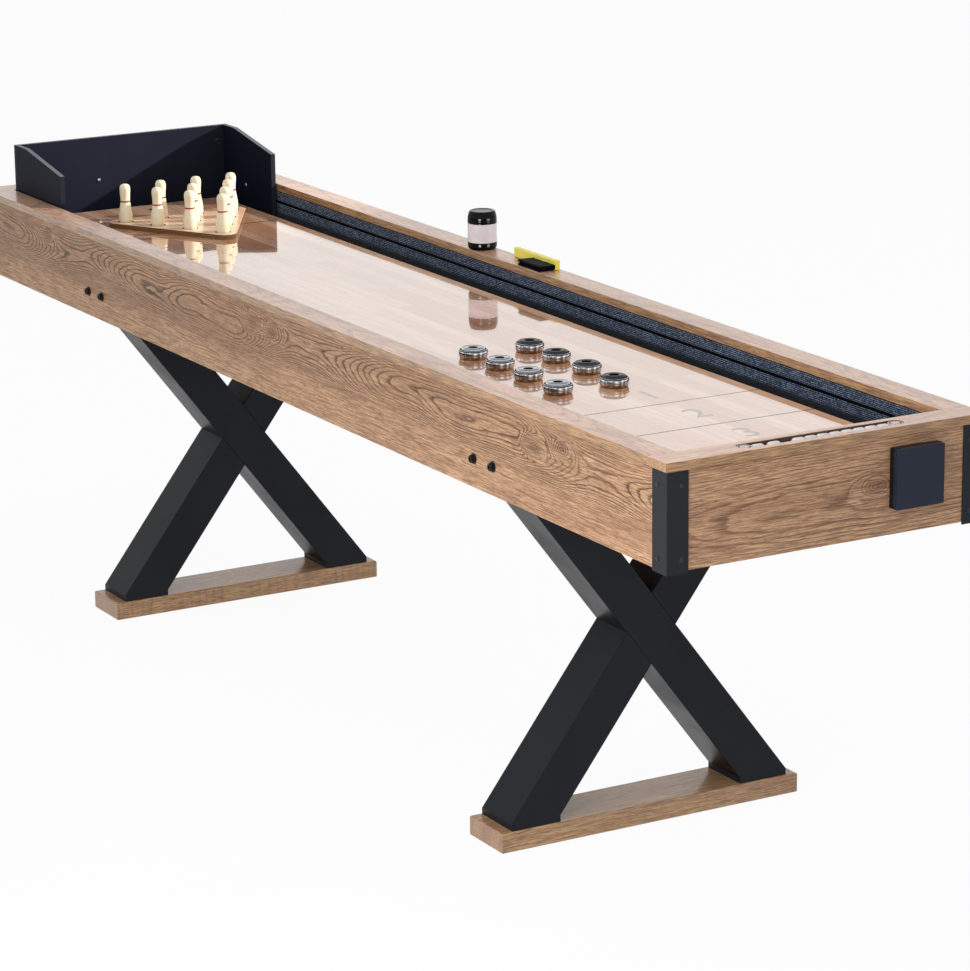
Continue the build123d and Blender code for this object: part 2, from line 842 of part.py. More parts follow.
# ================================================================ pucks
for number, (x, y) in enumerate(near_row_places + far_row_places, start=1):
    with BuildPart(Plane((x, y, board_top))) as puck:
        Cylinder(
            puck_diameter / 2,
            puck_height - puck_cap_rise,
            align=(Align.CENTER, Align.CENTER, Align.MIN),
        )
        chamfer(puck.edges(), puck_chamfer)
        with Locations((0, 0, puck_height - puck_cap_rise)):
            Cylinder(
                puck_cap_diameter / 2,
                puck_cap_rise,
                align=(Align.CENTER, Align.CENTER, Align.MIN),
            )
        fillet(puck.faces().sort_by(Axis.Z)[-1].edges(), puck_cap_edge_radius)
    write(puck, f"puck_{number}")

# ================================================================ pins and rack
row_spacing = pin_pitch * sqrt(3) / 2
back_row_x = -board_half_length + pin_back_row_from_board_end
pin_places = [
    (back_row_x + row * row_spacing, pin_triangle_y + (seat - (pin_rows - row - 1) / 2) * pin_pitch)
    for row in range(pin_rows)
    for seat in range(pin_rows - row)
]

head_radius = pin_head_diameter / 2
head_centre = pin_height - head_radius
with BuildPart() as pin:
    with BuildSketch(Plane.XZ):
        with BuildLine():
            Polyline(
                (0, pin_height),
                (0, 0),
                (pin_base_diameter / 2 - pin_base_chamfer, 0),
                (pin_base_diameter / 2, pin_base_chamfer),
            )
            Spline(
                (pin_base_diameter / 2, pin_base_chamfer),
                (pin_belly_diameter / 2, pin_belly_height),
                (pin_neck_diameter / 2, pin_neck_height),
                (head_radius, head_centre),
                (head_radius * cos(pi / 4), head_centre + head_radius * sin(pi / 4)),
                (0, pin_height),
                tangents=((0, 1), (-1, 0)),
            )
        make_face()
    revolve(axis=Axis.Z)

for number, (x, y) in enumerate(pin_places, start=1):
    with BuildPart() as placed_pin:
        with Locations((x, y, board_top)):
            add(pin.part)
    write(placed_pin, f"pin_{number}")

# The rack is a triangular plate that the pins stand through.
rack_x = back_row_x + (pin_rows - 1) * row_spacing / 3
pin_triangle_radius = (pin_rows - 1) * pin_pitch / sqrt(3)
with BuildPart() as rack:
    with BuildSketch(Plane.XY.offset(board_top)) as rack_outline:
        with Locations((rack_x, pin_triangle_y)):
            RegularPolygon(pin_triangle_radius + 2 * rack_margin, 3)
        fillet(rack_outline.vertices(), rack_corner_radius)
    extrude(amount=rack_thickness)
    fillet(rack.faces().sort_by(Axis.Z)[-1].edges(), rack_edge_radius)
    with BuildSketch(Plane.XY.offset(board_top)):
        with Locations(*pin_places):
            Circle(pin_belly_diameter / 2 + rack_hole_clearance)
    extrude(amount=rack_thickness, mode=Mode.SUBTRACT)
write(rack, "pin_rack")

# ================================================================ wax bottle and brush
bottle_y = cap_inner_y + side_cap_width / 2
bottle_radius = bottle_diameter / 2
neck_height = bottle_cap_height - bottle_cap_top_wall - bottle_cap_gap
with BuildPart(Plane((bottle_x, bottle_y, table_height))) as bottle:
    Cylinder(bottle_radius, bottle_body_height, align=(Align.CENTER, Align.CENTER, Align.MIN))
    fillet(bottle.edges().sort_by(Axis.Z)[0], bottle_base_radius)
    with Locations((0, 0, bottle_body_height)):
        Cylinder(bottle_neck_diameter / 2, neck_height, align=(Align.CENTER, Align.CENTER, Align.MIN))
write(bottle, "wax_bottle")

cap_base = table_height + bottle_body_height + bottle_cap_gap
with BuildPart(Plane((bottle_x, bottle_y, cap_base))) as bottle_cap:
    Cone(
        bottle_radius,
        bottle_cap_top_diameter / 2,
        bottle_cap_height,
        align=(Align.CENTER, Align.CENTER, Align.MIN),
    )
    fillet(bottle_cap.edges().sort_by(Axis.Z)[-1], bottle_cap_edge_radius)
    with Locations((0, 0, bottle_cap_height)):
        Cylinder(
            bottle_cap_top_diameter / 2 - bottle_cap_edge_radius - bottle_cap_rim,
            bottle_cap_dish_depth,
            align=(Align.CENTER, Align.CENTER, Align.MAX),
            mode=Mode.SUBTRACT,
        )
    Cylinder(
        bottle_neck_diameter / 2 + bottle_neck_clearance,
        bottle_cap_height - bottle_cap_top_wall,
        align=(Align.CENTER, Align.CENTER, Align.MIN),
        mode=Mode.SUBTRACT,
    )
write(bottle_cap, "wax_bottle_cap")

# The brush lies on its side, with its bristles towards the playfield.
brush_outer_y = half_width - brush_outer_inset
brush_inner_y = brush_outer_y - brush_bar_thickness
with BuildPart() as brush_bar:
    slab(
        (brush_front_x - brush_bar_length, brush_front_x),
        (brush_inner_y, brush_outer_y),
        (table_height, table_height + brush_bar_height),
    )
    fillet(brush_bar.edges(), brush_bar_radius)
write(brush_bar, "brush_handle")

with BuildPart() as bristles:
    with BuildSketch(Plane.YZ.offset(brush_front_x)):
        with BuildLine():
            Polyline(
                (brush_inner_y, table_height + brush_bar_radius),
                (brush_inner_y, table_height + brush_bar_radius + bristle_root_height),
                (brush_inner_y - bristle_reach, table_height + bristle_tip_height),
                (brush_inner_y - bristle_reach, table_height),
                close=True,
            )
        make_face()
    extrude(amount=-bristle_length)
write(bristles, "brush_bristles")
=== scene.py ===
import math
import random

import bmesh
import bpy
from mathutils import Matrix, Vector


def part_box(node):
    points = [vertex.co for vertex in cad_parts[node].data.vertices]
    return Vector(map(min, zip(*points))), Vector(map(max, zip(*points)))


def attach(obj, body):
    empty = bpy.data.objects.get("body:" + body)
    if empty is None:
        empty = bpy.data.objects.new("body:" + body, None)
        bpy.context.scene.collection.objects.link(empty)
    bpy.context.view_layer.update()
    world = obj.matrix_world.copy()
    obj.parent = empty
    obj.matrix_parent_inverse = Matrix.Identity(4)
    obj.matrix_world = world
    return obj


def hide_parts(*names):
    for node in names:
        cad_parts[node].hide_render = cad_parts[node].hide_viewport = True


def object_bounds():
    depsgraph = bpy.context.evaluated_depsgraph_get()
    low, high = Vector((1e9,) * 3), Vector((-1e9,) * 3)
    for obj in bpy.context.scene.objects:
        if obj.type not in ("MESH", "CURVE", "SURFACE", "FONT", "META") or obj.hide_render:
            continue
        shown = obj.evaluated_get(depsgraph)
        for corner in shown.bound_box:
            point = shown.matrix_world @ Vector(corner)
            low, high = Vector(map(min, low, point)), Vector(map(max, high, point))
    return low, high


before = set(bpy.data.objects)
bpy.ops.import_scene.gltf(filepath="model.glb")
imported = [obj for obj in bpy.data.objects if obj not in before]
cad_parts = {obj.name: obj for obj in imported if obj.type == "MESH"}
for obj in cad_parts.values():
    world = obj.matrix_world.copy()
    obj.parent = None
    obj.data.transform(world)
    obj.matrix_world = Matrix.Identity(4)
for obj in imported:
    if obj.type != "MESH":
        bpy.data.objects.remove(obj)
cad_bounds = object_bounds()
scene = bpy.context.scene
MM = 0.001


# ---- node helpers
class Nodes:
    """A node tree, emptied, with short calls to fill it."""

    def __init__(self, tree):
        self.tree = tree
        tree.nodes.clear()

    def put(self, value, socket):
        """Link a socket to another, or write a plain value on it."""
        if isinstance(value, bpy.types.NodeSocket):
            self.tree.links.new(value, socket)
        else:
            socket.default_value = value

    def add(self, kind, inputs=(), **settings):
        """A node; its inputs are given in order, or by their names or numbers."""
        node = self.tree.nodes.new(kind)
        for key, value in settings.items():
            setattr(node, key, value)
        for key, value in inputs.items() if isinstance(inputs, dict) else enumerate(inputs):
            self.put(value, node.inputs[key])
        return node

    def math(self, operation, *values):
        return self.add("ShaderNodeMath", values, operation=operation).outputs[0]


class Paint(Nodes):
    """A material under construction."""

    def __init__(self, name):
        self.material = bpy.data.materials.new(name)
        self.material.use_nodes = True
        super().__init__(self.material.node_tree)
        self.shader = self.add("ShaderNodeBsdfPrincipled")
        self.add("ShaderNodeOutputMaterial", {"Surface": self.shader.outputs[0]})
        coordinates = self.add("ShaderNodeTexCoord").outputs
        self.place = coordinates["Object"]
        self.normal = coordinates["Normal"]

    def set(self, **inputs):
        """Set the shader's sockets; an underscore in a name stands for a space."""
        for key, value in inputs.items():
            self.put(value, self.shader.inputs[key.replace("_", " ")])

    def times(self, first, second):
        return self.math("MULTIPLY", first, second)

    def reach(self, x, y):
        """How far a point is from the axis that x and y are measured from."""
        return self.math("SQRT", self.math("ADD", self.times(x, x), self.times(y, y)))

    def axes(self, vector=None):
        return self.add("ShaderNodeSeparateXYZ", [vector or self.place]).outputs

    def vector(self, x, y, z):
        return self.add("ShaderNodeCombineXYZ", (x, y, z)).outputs[0]

    def noise(self, size, detail=2.0, roughness=0.5, distortion=0.0, of=None, shift=(0.0, 0.0, 0.0)):
        """Noise in the place or another vector; size is that of its features, or one for each axis."""
        sizes = size if isinstance(size, tuple) else (size,) * 3
        scale = [1 / size for size in sizes]
        mapping = {"Vector": of or self.place, "Location": shift, "Scale": scale}
        vector = self.add("ShaderNodeMapping", mapping).outputs[0]
        inputs = {"Scale": 1.0, "Detail": detail, "Roughness": roughness, "Distortion": distortion}
        return self.add("ShaderNodeTexNoise", {"Vector": vector, **inputs}).outputs["Fac"]

    def between(self, value, low, high, out_low=0.0, out_high=1.0):
        """Map a range to another one, smoothly and without running over."""
        inputs = (value, low, high, out_low, out_high)
        return self.add("ShaderNodeMapRange", inputs, interpolation_type="SMOOTHSTEP").outputs[0]

    def mix(self, share, first, second):
        inputs = {0: share}
        for index, value in ((6, first), (7, second)):
            inputs[index] = value if isinstance(value, bpy.types.NodeSocket) else (*value[:3], 1.0)
        return self.add("ShaderNodeMix", inputs, data_type="RGBA").outputs[2]

    def tint(self, first, second, *step):
        """Mix two colours by where a value stands in a range; the step is as for between."""
        return self.mix(self.between(*step), first, second)

    def done(self, colour, rough, height, distance, strength, **more):
        """Set the colour, roughness, relief and any other sockets; the material is then ready."""
        relief = {"Height": height, "Distance": distance, "Strength": strength}
        normal = self.add("ShaderNodeBump", relief).outputs[0]
        self.set(Base_Color=colour, Roughness=rough, Normal=normal, **more)
        return self.material


def shade(red, green, blue):
    """A colour given as it looks on screen, 0 to 255, as the shader's own values."""
    def linear(value):
        value /= 255
        return value / 12.92 if value <= 0.04045 else ((value + 0.055) / 1.055) ** 2.4
    return (linear(red), linear(green), linear(blue), 1.0)


# ---- materials
BLACK, GREY, WHITE = ((tone, tone, tone, 1.0) for tone in (0.0, 0.5, 1.0))
BOARD_GLOSS = {"Specular_IOR_Level": 0.8, "Coat_Weight": 1.0, "Coat_Roughness": 0.012, "Coat_IOR": 2.1}
OAK_PALE = shade(239, 196, 156)
OAK_BODY = shade(204, 156, 119)
OAK_LINE = shade(76, 48, 28)
OAK_PORE = shade(92, 64, 46)


def arches(paint, along, start, period):
    """Rings climbed along the print's middle: up in two flights, then down to the next start."""
    place = paint.math("FRACT", paint.math("DIVIDE", paint.math("SUBTRACT", along, start), period))
    climb = paint.between(place, 0.04, 0.38, 0.0, 9.0)
    shoulder = paint.between(place, 0.41, 0.52, 0.0, 2.0)
    fall = paint.between(place, 0.73, 0.98, 0.0, -11.0)
    return paint.math("ADD", climb, paint.math("ADD", shoulder, fall))


def knot(paint, field, along, across, place):
    """Close the rings round a knot, and say how dark its heart is."""
    run = paint.math("DIVIDE", paint.math("SUBTRACT", along, place[0]), 1.7)
    rise = paint.math("SUBTRACT", across, place[1])
    reach = paint.reach(run, rise)
    hold = paint.between(reach, 0.008, 0.034, 1.0, 0.0)
    own = paint.math("DIVIDE", reach, 0.0042)
    closed = paint.math("MULTIPLY_ADD", hold, paint.math("SUBTRACT", own, field), field)
    return closed, paint.between(reach, 0.002, 0.018, 1.0, 0.0)


def oak(name, along, across, centre, seed, **look):
    """Printed oak: cathedral arches about a centre line and straight grain beside them.

    along and across name the axes the figure runs along and spreads over; centre
    is where the arches' middle lies on the across axis.
    """
    paint = Paint(name)
    axis = dict(zip("XYZ", paint.axes()))
    length, side = axis[along], axis[across]
    depth = axis[(set("XYZ") - {along, across}).pop()]
    grain = paint.vector(length, side, depth)

    def figure(*settings):
        return paint.noise(*settings, of=grain, shift=(seed * 1.7, seed * 0.9, seed * 2.3))

    drift = figure((0.34, 40.0, 40.0), 0.0)
    wander = paint.times(paint.math("SUBTRACT", drift, 0.5), 0.05)
    offset = paint.math("SUBTRACT", side, paint.math("ADD", wander, centre))
    bow = paint.math("DIVIDE", paint.times(offset, offset), look.get("narrow", 0.00030))
    climb = arches(paint, length, look.get("start", 0.13), look.get("period", 1.04))
    climb = paint.times(climb, look.get("climb", 1.0))
    warp = figure((0.15, 0.045, 0.06), 1.0, 0.4)
    tremble = figure((0.035, 0.008, 0.02), 1.0, 0.5)
    field = paint.math("SUBTRACT", climb, bow)
    field = paint.math("MULTIPLY_ADD", warp, look.get("warp", 2.6), field)
    field = paint.math("MULTIPLY_ADD", tremble, 0.45, field)
    heart = 0.0
    for place in look.get("knots", ()):
        field, dark = knot(paint, field, length, side, place)
        heart = paint.math("MAXIMUM", heart, dark)

    streak = figure((0.24, 0.0027, 0.0027), 4.0, 0.7)
    fibre = figure((0.045, 0.0014, 0.0014), 2.0, 0.65)
    pores = paint.between(figure((0.018, 0.0010, 0.0010), 1.0), 0.56, 0.68)
    phase = paint.math("FRACT", field)
    rings = paint.times(paint.between(phase, 0.50, 0.88), paint.between(phase, 0.93, 1.0, 1.0, 0.0))
    patch = figure((0.22, 0.045, 0.04), 3.0, 0.55)
    border = figure((0.12, 0.02, 0.03))
    reach = paint.math("MULTIPLY_ADD", border, 0.05, paint.math("ABSOLUTE", offset))
    away = paint.between(reach, 0.055, 0.105, 1.0, look.get("beside", 0.2))
    strength = paint.times(paint.between(patch, 0.3, 0.6, 0.6, 1.0), away)
    broken = paint.between(fibre, 0.34, 0.62, 0.75, 1.0)
    rings = paint.times(rings, paint.times(strength, broken))

    colour = paint.tint(look.get("body", OAK_BODY), look.get("pale", OAK_PALE), streak, 0.28, 0.70)
    broad = figure((0.45, 0.06, 0.05))
    colour = paint.tint(colour, shade(158, 114, 90), broad, 0.42, 0.68, 0.0, 0.35)
    colour = paint.tint(colour, shade(136, 96, 70), fibre, 0.44, 0.58, 0.0, look.get("fibre", 0.7))
    colour = paint.mix(paint.times(away, look.get("arch_tone", 0.28)), colour, shade(142, 104, 76))
    colour = paint.mix(paint.times(rings, look.get("ink", 1.0)), colour, OAK_LINE)
    colour = paint.mix(paint.times(pores, look.get("pores", 0.6)), colour, OAK_PORE)
    colour = paint.mix(paint.times(heart, 0.45), colour, OAK_LINE)
    if "edge_tint" in look:
        up = paint.math("ABSOLUTE", paint.axes(paint.normal)[2])
        flecks = paint.tint(look["edge_tint"], shade(118, 82, 42), fibre, 0.42, 0.56)
        colour = paint.tint(colour, flecks, up, 0.55, 0.9, 0.75, 0.0)
    if "slot" in look:
        # painted shade: the slot's walls in the cap are painted dark brown
        colour = paint.mix(slot_shade(paint, axis, look["slot"]), colour, shade(74, 52, 46))
    if "coat" in look:
        paint.set(Coat_Weight=look["coat"], Coat_Roughness=0.16)
    rough = paint.between(streak, 0.2, 0.8, *look.get("rough", (0.38, 0.52)))
    relief = paint.math("SUBTRACT", paint.times(fibre, 0.5), pores)
    specular = look.get("specular", 0.3)
    return paint.done(colour, rough, relief, 0.00028, 0.6, Specular_IOR_Level=specular)


def slot_shade(paint, axis, place):
    """Mask for painted shade: 1 inside the slot for the score beads, just under the cap's top, 0 elsewhere.
    """
    x, half_width, half_length, top = place
    from_middle = paint.math("ABSOLUTE", paint.math("SUBTRACT", axis["X"], x))
    inside = paint.math("LESS_THAN", from_middle, half_width)
    along = paint.math("LESS_THAN", paint.math("ABSOLUTE", axis["Y"]), half_length)
    below = paint.math("LESS_THAN", axis["Z"], top)
    return paint.times(inside, paint.times(along, below))


def playfield():
    """Edge-glued staves along the board under a clear high-gloss coat."""
    paint = Paint("playfield_coat")
    inputs = {
        "Vector": paint.place, "Scale": 1.0, "Mortar Size": 0.00035, "Mortar Smooth": 0.2, "Bias": 0.0,
        "Brick Width": 0.46, "Row Height": 0.0302, "Color1": BLACK, "Color2": WHITE, "Mortar": GREY,
    }
    bricks = paint.add("ShaderNodeTexBrick", inputs, offset=0.37, offset_frequency=2, squash=1.0).outputs
    stave = bricks["Color"]
    x, y, z = paint.axes()
    own = paint.times(stave, 7.3)
    grain = paint.vector(paint.math("ADD", x, own), paint.math("ADD", y, own), z)
    broad = paint.noise((0.26, 0.014, 0.05), 2.0, 0.5, 0.6, of=grain)
    fine = paint.noise((0.07, 0.0022, 0.01), 3.0, 0.6, of=grain)
    colour = paint.tint(shade(225, 166, 128), shade(253, 208, 174), stave, 0.0, 1.0)
    colour = paint.tint(colour, shade(212, 143, 100), broad, 0.40, 0.60, 0.0, 0.36)
    colour = paint.tint(colour, shade(170, 108, 70), fine, 0.42, 0.64, 0.0, 0.24)
    colour = paint.mix(paint.times(bricks["Fac"], 0.45), colour, shade(128, 82, 52))
    smear = paint.noise((0.5, 0.12, 1.0), 3.0, 0.6)
    rough = paint.between(smear, 0.3, 0.75, 0.05, 0.09)
    return paint.done(colour, rough, fine, 0.00003, 0.15, **BOARD_GLOSS)


def wood_side(name, seed, pale, dark, specular=0.3):
    """Plain sawn board: straight fibres along X and a little dirt."""
    paint = Paint(name)
    fibre = paint.noise((0.12, 0.003, 0.003), 3.0, 0.6, shift=(seed,) * 3)
    cloud = paint.noise((0.3, 0.1, 0.1))
    colour = paint.tint(dark, pale, fibre, 0.3, 0.7)
    colour = paint.tint(colour, dark, cloud, 0.4, 0.7, 0.0, 0.25)
    rough = paint.between(fibre, 0.2, 0.8, 0.55, 0.7)
    return paint.done(colour, rough, fibre, 0.0003, 0.5, Specular_IOR_Level=specular)


def coated(name, colour, rough=0.4, grain=0.0006, depth=0.00006, coat=0.0, **more):
    """A coated or moulded surface: fine texture, soft clouding and faint rubbing."""
    paint = Paint(name)
    fine = paint.noise(grain, 2.0, 0.6)
    cloud = paint.noise(0.11, 3.0, 0.55)
    worn = [min(1.0, c * 1.35 + 0.002) for c in colour[:3]]
    tint = paint.tint(colour, worn, cloud, 0.35, 0.75, 0.0, 0.55)
    tint = paint.tint(tint, worn, fine, 0.45, 0.75, 0.0, 0.25)
    paint.set(Specular_IOR_Level=0.2)
    if coat:
        paint.set(Coat_Weight=coat, Coat_Roughness=0.08)
    satin = paint.between(cloud, 0.3, 0.7, rough - 0.05, rough + 0.06)
    return paint.done(tint, satin, fine, depth, 0.6, **more)


def leg_paint():
    """Satin black paint, with painted light: the faces that look along the table are painted a shade paler.
    """
    paint = Paint("leg_black_paint")
    fine = paint.noise(1.2 * MM, 2.0, 0.6)
    cloud = paint.noise((0.16, 0.10, 0.22), 3.0, 0.6)
    along = paint.math("ABSOLUTE", paint.axes(paint.normal)[0])
    # painted light: faces whose normal runs along X are painted paler
    colour = paint.tint(shade(16, 19, 25), shade(31, 33, 40), along, 0.5, 0.9)
    colour = paint.tint(colour, shade(26, 28, 34), cloud, 0.38, 0.66, 0.0, 0.5)
    rough = paint.between(cloud, 0.3, 0.7, 0.32, 0.42)
    return paint.done(colour, rough, fine, 0.00008, 0.6, Specular_IOR_Level=0.12)


def bottle_gloss():
    """Glossy black plastic with painted highlights: narrow pale streaks down its side for the gleam of strip
    lights, and a paler top where the surface faces up.
    """
    paint = Paint("bottle_black")
    lean = paint.axes(paint.normal)
    cloud = paint.noise(0.006)
    colour = paint.tint(shade(7, 7, 9), shade(14, 14, 17), cloud, 0.4, 0.7, 0.0, 0.5)
    # painted highlights: pale streaks where the side faces two fixed directions
    for (x, y), width, strength in (((0.769, -0.639), 0.007, 0.75), ((0.996, -0.083), 0.010, 0.4)):
        highlight_facing = paint.math("ADD", paint.times(lean[0], x), paint.times(lean[1], y))
        streak = (1.0 - width, 1.0 - width / 3, 0.0, strength)
        colour = paint.tint(colour, shade(226, 226, 232), highlight_facing, *streak)
    # painted highlight: faces that look up are painted paler
    colour = paint.tint(colour, shade(150, 152, 156), lean[2], 0.9, 0.99, 0.0, 0.5)
    rough = paint.between(cloud, 0.3, 0.7, 0.16, 0.24)
    return paint.done(colour, rough, cloud, 0.00004, 0.3, Specular_IOR_Level=0.12)


def laminate_panel(name, colour, tape_tone, face_axis):
    """A laminated panel: satin faces across face_axis, and taped edges painted by which way they face, dark
    upright ends and paler top edges, as painted light.
    """
    paint = Paint(name)
    fine = paint.noise(0.0009, 2.0, 0.6)
    cloud = paint.noise(0.14, 3.0, 0.55)
    face = paint.tint(colour, [c * 1.3 for c in colour[:3]], cloud, 0.35, 0.75, 0.0, 0.4)
    lean = paint.axes(paint.normal)
    lit_edge_tape = paint.tint(tape_tone, [c * 0.6 for c in tape_tone[:3]], fine, 0.4, 0.7)
    # painted light: edges facing up stay pale, upright ends are painted dark
    lit_edge_tape = paint.tint(shade(44, 46, 54), lit_edge_tape, lean[2], 0.2, 0.6)
    turned = paint.math("ABSOLUTE", lean[face_axis])
    tint = paint.tint(lit_edge_tape, face, turned, 0.5, 0.9)
    rough = paint.between(cloud, 0.3, 0.7, 0.40, 0.50)
    return paint.done(tint, rough, fine, 0.00005, 0.5, Specular_IOR_Level=0.03)


def turned_metal(name, colour, rough=0.12):
    """Bright turned metal: fine rings about the piece's own axis and light scuffs."""
    paint = Paint(name)
    x, y, z = paint.axes()
    profile = paint.vector(paint.reach(x, y), z, 0.0)
    rings = paint.noise((0.0004, 0.0004, 1.0), of=profile)
    scuff = paint.noise((0.012, 0.012, 0.003), 4.0, 0.6)
    tint = paint.tint(colour, [c * 0.72 for c in colour[:3]], scuff, 0.4, 0.8, 0.0, 0.3)
    satin = paint.between(scuff, 0.3, 0.8, rough, rough + 0.14)
    return paint.done(tint, satin, rings, 0.000015, 0.35, Metallic=1.0)


def puck_chrome():
    """Polished steel with painted reflections, toned by how its surface leans: a bright middle band, dark
    above it, pale again on top, and brown below it for the board it mirrors.
    """
    paint = Paint("puck_chrome")
    lean = paint.axes(paint.normal)
    around = paint.vector(lean[0], lean[1], 0.0)
    streak = paint.noise((0.30, 0.30, 1.0), 2.0, 0.6, of=around)
    scuff = paint.noise((0.010, 0.010, 0.0012), 3.0, 0.6)
    board_reflection_tone, middle_reflection_tone = shade(176, 146, 120), shade(238, 238, 242)
    # painted reflections: colours set by the normal's lean stand in for the room and board the steel mirrors
    colour = paint.tint(board_reflection_tone, middle_reflection_tone, lean[2], -0.28, -0.10)
    colour = paint.tint(colour, shade(48, 50, 56), lean[2], 0.42, 0.52)
    colour = paint.tint(colour, shade(220, 222, 226), lean[2], 0.70, 0.84)
    # painted reflection: dark streaks by the direction the side faces
    colour = paint.tint(colour, shade(52, 46, 44), streak, 0.44, 0.60, 0.0, 0.75)
    rough = paint.between(scuff, 0.3, 0.8, 0.05, 0.16)
    return paint.done(colour, rough, scuff, 0.00003, 0.3, Metallic=1.0)


def puck_cap(name, tone, highlight_tone, **more):
    """A turned cap: fine rings, a groove near the rim painted darker as painted shade, and painted
    highlights: fan-shaped bright marks across the rings, a bright ring at the hole's lip and a bright rim.
    """
    paint = Paint(name)
    x, y, z = paint.axes()
    reach = paint.reach(x, y)
    turned = paint.noise((0.9 * MM, 1.0, 1.0), 2.0, 0.6, of=paint.vector(reach, z, 0.0))
    scuff = paint.noise((0.006, 0.006, 0.004), 3.0, 0.6)
    dark = [c * 0.3 for c in tone[:3]]
    colour = paint.tint(tone, dark, turned, 0.42, 0.62, 0.0, 0.7)
    # painted highlight: a fan of pale colour across the rings, toward a fixed direction
    slant = paint.math("MULTIPLY_ADD", x, 0.35, paint.times(y, 0.937))
    fan = paint.math("DIVIDE", paint.math("ABSOLUTE", slant), paint.math("ADD", reach, 0.5 * MM))
    painted_glint = paint.times(paint.between(fan, 0.80, 0.97), paint.between(scuff, 0.3, 0.6, 0.5, 0.9))
    colour = paint.mix(painted_glint, colour, highlight_tone)
    # painted shade in the groove near the rim
    groove = paint.math("ABSOLUTE", paint.math("SUBTRACT", reach, 17.6 * MM))
    colour = paint.tint(colour, dark, groove, 0.4 * MM, 1.0 * MM, 0.9, 0.0)
    # painted highlights at the hole's lip and at the rim
    lip = paint.math("ABSOLUTE", paint.math("SUBTRACT", reach, 9.6 * MM))
    colour = paint.tint(colour, highlight_tone, lip, 0.4 * MM, 1.1 * MM, 0.6, 0.0)
    colour = paint.tint(colour, highlight_tone, reach, 19.2 * MM, 20.4 * MM, 0.0, 0.5)
    rough = paint.between(scuff, 0.3, 0.8, 0.18, 0.30)
    return paint.done(colour, rough, turned, 0.00003, 0.4, **more)


RIB_PITCH = 3.5 * MM
STITCH = 3.2 * MM
GUTTER_SHADE = 749.5 * MM  # the height below which the gutter lies in deep shade
PLY = 3.5 * MM


def ribbed_carpet(name, across, tint, shade_top=0.0):
    """Ribbed pile: flecked crests, valleys painted dark (partly the pile's dark base, partly painted shade),
    and deep painted shade below shade_top.
    """
    paint = Paint(name)
    axis = dict(zip("XYZ", paint.axes()))
    phase = paint.math("COSINE", paint.times(axis[across], 2 * math.pi / RIB_PITCH))
    height = axis["Z"]
    row = paint.math("FLOOR", paint.math("MULTIPLY_ADD", axis[across], 1 / RIB_PITCH, 0.5))
    axis[across] = paint.times(row, 5.3 * STITCH)
    stitch = paint.noise(STITCH, 1.0, 0.6, of=paint.vector(*axis.values()))
    yarn = paint.noise((0.0012, 0.0010, 0.0010), 2.0, 0.6)
    cloud = paint.noise((0.11, 0.05, 0.03), 3.0, 0.6)
    dark = [c * 0.08 for c in tint[:3]]
    fleck = [min(1.0, c * 2.6 + 0.07) for c in tint[:3]]
    crest = paint.between(phase, -0.25, 0.55)
    # valleys darkened: partly the pile's own dark base, partly painted shade between the ribs
    colour = paint.mix(crest, dark, tint)
    colour = paint.tint(colour, dark, stitch, 0.34, 0.46, 0.6, 0.0)
    lit = paint.times(paint.between(stitch, 0.46, 0.60), crest)
    colour = paint.mix(paint.times(lit, 0.8), colour, fleck)
    colour = paint.tint(colour, fleck, yarn, 0.5, 0.75, 0.0, 0.15)
    colour = paint.tint(colour, dark, cloud, 0.4, 0.65, 0.0, 0.3)
    # painted shade: the carpet darkens below shade_top
    if shade_top:
        colour = paint.tint(colour, dark, height, shade_top - 8 * MM, shade_top, 0.95, 0.0)
    paint.set(Specular_IOR_Level=0.1, Sheen_Weight=0.15, Sheen_Roughness=0.5)
    pile = paint.math("ADD", stitch, paint.times(yarn, 0.5))
    return paint.done(colour, 0.95, pile, 0.0008, 0.8)


def rack_wood():
    """Pale veneer on the faces, and a darker cut edge with its plies."""
    paint = Paint("rack_veneer")
    height = paint.axes()[2]
    flat = paint.math("ABSOLUTE", paint.axes(paint.normal)[2])
    veneer = paint.noise((0.13, 0.004, 0.02), 3.0, 0.6, 0.4)
    stave = paint.noise((0.3, 0.035, 0.3), 1.0)
    top = paint.tint(shade(220, 171, 132), shade(252, 214, 178), veneer, 0.3, 0.7)
    top = paint.tint(top, shade(232, 186, 154), stave, 0.42, 0.58, 0.0, 0.4)
    ply = paint.math("SINE", paint.times(height, 2 * math.pi / PLY))
    fibre = paint.noise((0.02, 0.02, 0.0015))
    edge = paint.tint(shade(98, 66, 32), shade(130, 92, 48), ply, -0.4, 0.4)
    edge = paint.tint(edge, shade(82, 54, 28), fibre, 0.4, 0.7, 0.0, 0.5)
    colour = paint.tint(edge, top, flat, 0.55, 0.8)
    rough = paint.between(veneer, 0.2, 0.8, 0.26, 0.36)
    return paint.done(colour, rough, veneer, 0.0002, 0.4, Coat_Weight=0.35, Coat_Roughness=0.10)


def paper_label():
    """Plain pale label paper, with nothing written on it."""
    paint = Paint("bottle_label_paper")
    fibre = paint.noise(0.0006)
    cloud = paint.noise(0.02)
    colour = paint.tint(shade(244, 236, 244), shade(254, 248, 254), cloud, 0.3, 0.7)
    colour = paint.tint(colour, shade(206, 200, 208), fibre, 0.5, 0.7, 0.0, 0.2)
    rough = paint.between(cloud, 0.3, 0.7, 0.28, 0.36)
    return paint.done(colour, rough, fibre, 0.00002, 0.4)


